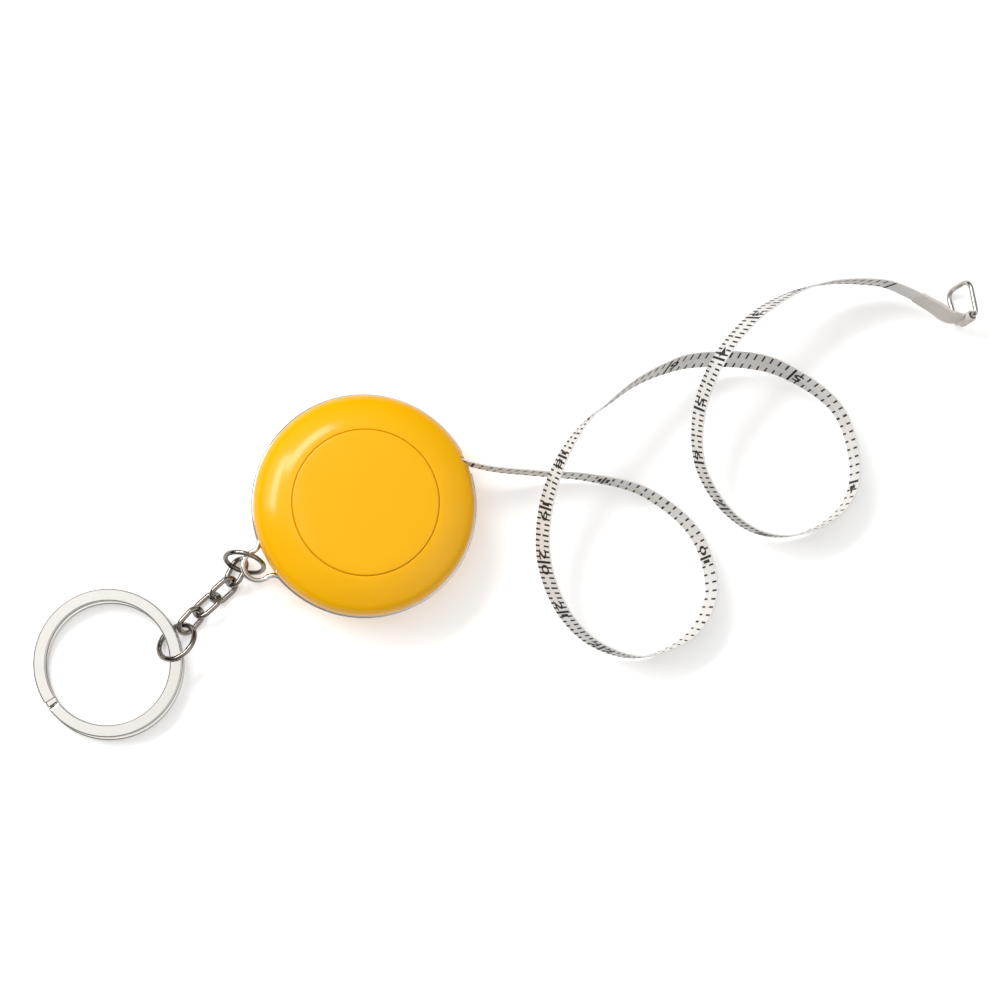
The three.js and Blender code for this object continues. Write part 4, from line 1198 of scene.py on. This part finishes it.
class ChainOperator(bpy.types.Operator):
    """The wire in the seam with its eye, the jump rings and the links"""

    bl_idname = "tape_measure.chain"
    bl_label = "Chain"

    def execute(self, context):
        sizes = context.scene.tape_chain
        seam = context.scene.tape_case.seam
        bright = plated("bright_wire_nickel", sizes.nickel, roughness=0.14)
        metal = plated("polished_chain_nickel", sizes.chain, roughness=0.08)
        tree = wire_tree()
        slot = math.atan2(ROUTE[0][1], ROUTE[0][0])
        bail = wire(tree, "bail_wire", bail_line(sizes, seam, slot), False, sizes.bail_wire, bright)
        dress(bail, "case", "nickel", "wire_bail")
        places = ChainPlaces(sizes, seam)
        ring = places.ring(places.case_middle, CASE_RING_PLANE, sizes.case_ring)
        thick = sizes.case_ring_wire + sizes.plating
        dress(wire(tree, "case_ring_wire", ring, True, thick, metal), "case_ring", "nickel", "case_jump_ring")
        ring = places.ring(places.key_middle, KEY_LINK_PLANE, sizes.key_link)
        thick = sizes.key_link_wire + sizes.plating
        dress(wire(tree, "key_link_wire", ring, True, thick, metal), "key_link", "nickel", "key_jump_ring")
        links = link_tree()
        values = {
            "Length": sizes.link_length + sizes.plating, "Width": sizes.link_width + sizes.plating,
            "Wire": sizes.link_wire + sizes.plating, "Material": metal}
        for i, (middle, forward, across) in enumerate(places.links, 1):
            link = links.make(f"link_{i}_wire", values, [(0, 0, 0)])
            turn = Matrix((forward, across, forward.cross(across))).transposed().to_4x4()
            link.data.transform(Matrix.Translation(middle) @ turn)
            dress(link, f"link_{i}", "nickel", f"chain_link_{i}")
        return {"FINISHED"}


class KeyRingOperator(bpy.types.Operator):
    """The split key ring of two turns of flat wire"""

    bl_idname = "tape_measure.key_ring"
    bl_label = "Key ring"

    def execute(self, context):
        sizes = context.scene.tape_chain
        metal = plated("polished_ring_nickel", shade(sizes.nickel, sizes.ring_shade), roughness=0.05)
        places = ChainPlaces(sizes, context.scene.tape_case.seam)
        points = places.split_ring(sizes)
        ring = wire(
            wire_tree(), "split_ring_band", points, False, sizes.band, metal,
            height=sizes.turn, corner=sizes.band_corner, level=True)
        ring.data.transform(places.ring_pose)
        smoothed(ring.data, degrees=8)
        dress(ring, "key_ring", "nickel", "split_key_ring")
        return {"FINISHED"}


class WorksOperator(bpy.types.Operator):
    """The pieces inside the case: reel, springs, brake and the tape that is still wound up"""

    bl_idname = "tape_measure.works"
    bl_label = "Works"

    def execute(self, context):
        case = context.scene.tape_case
        nylon = moulded("natural_nylon", case.nylon, roughness=0.5, grain=900.0)
        steel = plated("spring_steel", case.steel, roughness=0.3)
        for name in ("arbor", "brake_disc", "reel_drum", "reel_cover"):
            self.paint(name, nylon)
        for name in ("mainspring", "cross_pin"):
            self.paint(name, steel)
        self.coil(case, steel)
        self.winding(context.scene.tape_sizes)
        return {"FINISHED"}

    def paint(self, name, material):
        mesh = frame["nodes"][name].data
        mesh.materials.clear()
        mesh.materials.append(material)

    def coil(self, sizes, steel):
        """The button's spring, a coil of wire that fills the box of its solid."""
        low, high = (Vector(corner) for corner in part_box("button_spring"))
        half = sizes.spring_wire / 2
        bottom, rise = low.z + half, high.z - low.z - sizes.spring_wire
        steps = sizes.spring_turns * COIL_STEPS
        points = [
            polar(high.x - half, math.tau * sizes.spring_turns * i / steps, bottom + rise * i / steps)
            for i in range(steps + 1)]
        spring = wire(wire_tree(), "button_spring_coil", points, False, sizes.spring_wire, steel)
        dress(spring, "case", "spring_steel", "button_spring")
        press = next(joint for joint in frame["joints"] if joint["name"] == "button_press")
        travel = max(press["range_m"])
        1 - travel / (high.z - low.z)
        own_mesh(spring)

    def winding(self, sizes):
        """The tape on the reel, each turn a little thinner than its room so that the turns stay apart."""
        thinner = 0.86
        cloth = woven("wound_coated_cloth", sizes.cloth, pitch=sizes.thread, strength=0.25)
        turns = (sizes.wind_outside - sizes.wind_inside) / sizes.thickness
        leave = math.atan2(LEAD_START.y, LEAD_START.x)
        steps = int(turns * WIND_STEPS)
        middles, far = [], []
        for i in range(steps + 1):
            t = i / steps
            radius = sizes.wind_inside + (sizes.wind_outside - sizes.wind_inside) * t
            middles.append(polar(radius, leave + math.tau * turns * (1 - t), LEAD_START.z))
            far.append(radius * math.tau * turns * t)
        section = strip_section(sizes.thickness * thinner, sizes.width)
        roll = strip("wound_tape_cloth", middles, [UP] * len(middles), [section] * len(middles), cloth, far)
        dress(roll, "reel", "tape", "wound_tape")


class TapeMeasurePanel(bpy.types.Panel):
    """Sizes of the tape measure and the steps that make it"""

    bl_idname = "VIEW3D_PT_tape_measure"
    bl_label = "Pocket tape measure"
    bl_space_type = "VIEW_3D"
    bl_region_type = "UI"
    bl_category = "Tape measure"

    def draw(self, context):
        for operator in OPERATORS:
            self.layout.operator(operator.bl_idname)
        for key in GROUPS:
            box = self.layout.box()
            group = getattr(context.scene, key)
            for name in group.__annotations__:
                box.prop(group, name)


OPERATORS = (
    StageOperator, TapeOperator, CaseOperator, ButtonOperator, ChainOperator, KeyRingOperator, WorksOperator)
GROUPS = {
    "tape_case": CaseSizes, "tape_sizes": TapeSizes, "tape_chain": ChainSizes, "tape_stage": StageSettings}


def register():
    for cls in (*GROUPS.values(), *OPERATORS, TapeMeasurePanel):
        bpy.utils.register_class(cls)
    for key, group in GROUPS.items():
        setattr(bpy.types.Scene, key, bpy.props.PointerProperty(type=group))


def unregister():
    for key in GROUPS:
        delattr(bpy.types.Scene, key)
    for cls in (TapeMeasurePanel, *reversed(OPERATORS), *GROUPS.values()):
        bpy.utils.unregister_class(cls)


def main():
    register()
    bpy.ops.tape_measure.stage()
    bpy.ops.tape_measure.tape()
    bpy.ops.tape_measure.case()
    bpy.ops.tape_measure.button()
    bpy.ops.tape_measure.chain()
    bpy.ops.tape_measure.key_ring()
    bpy.ops.tape_measure.works()


if __name__ == "__main__":
    main()
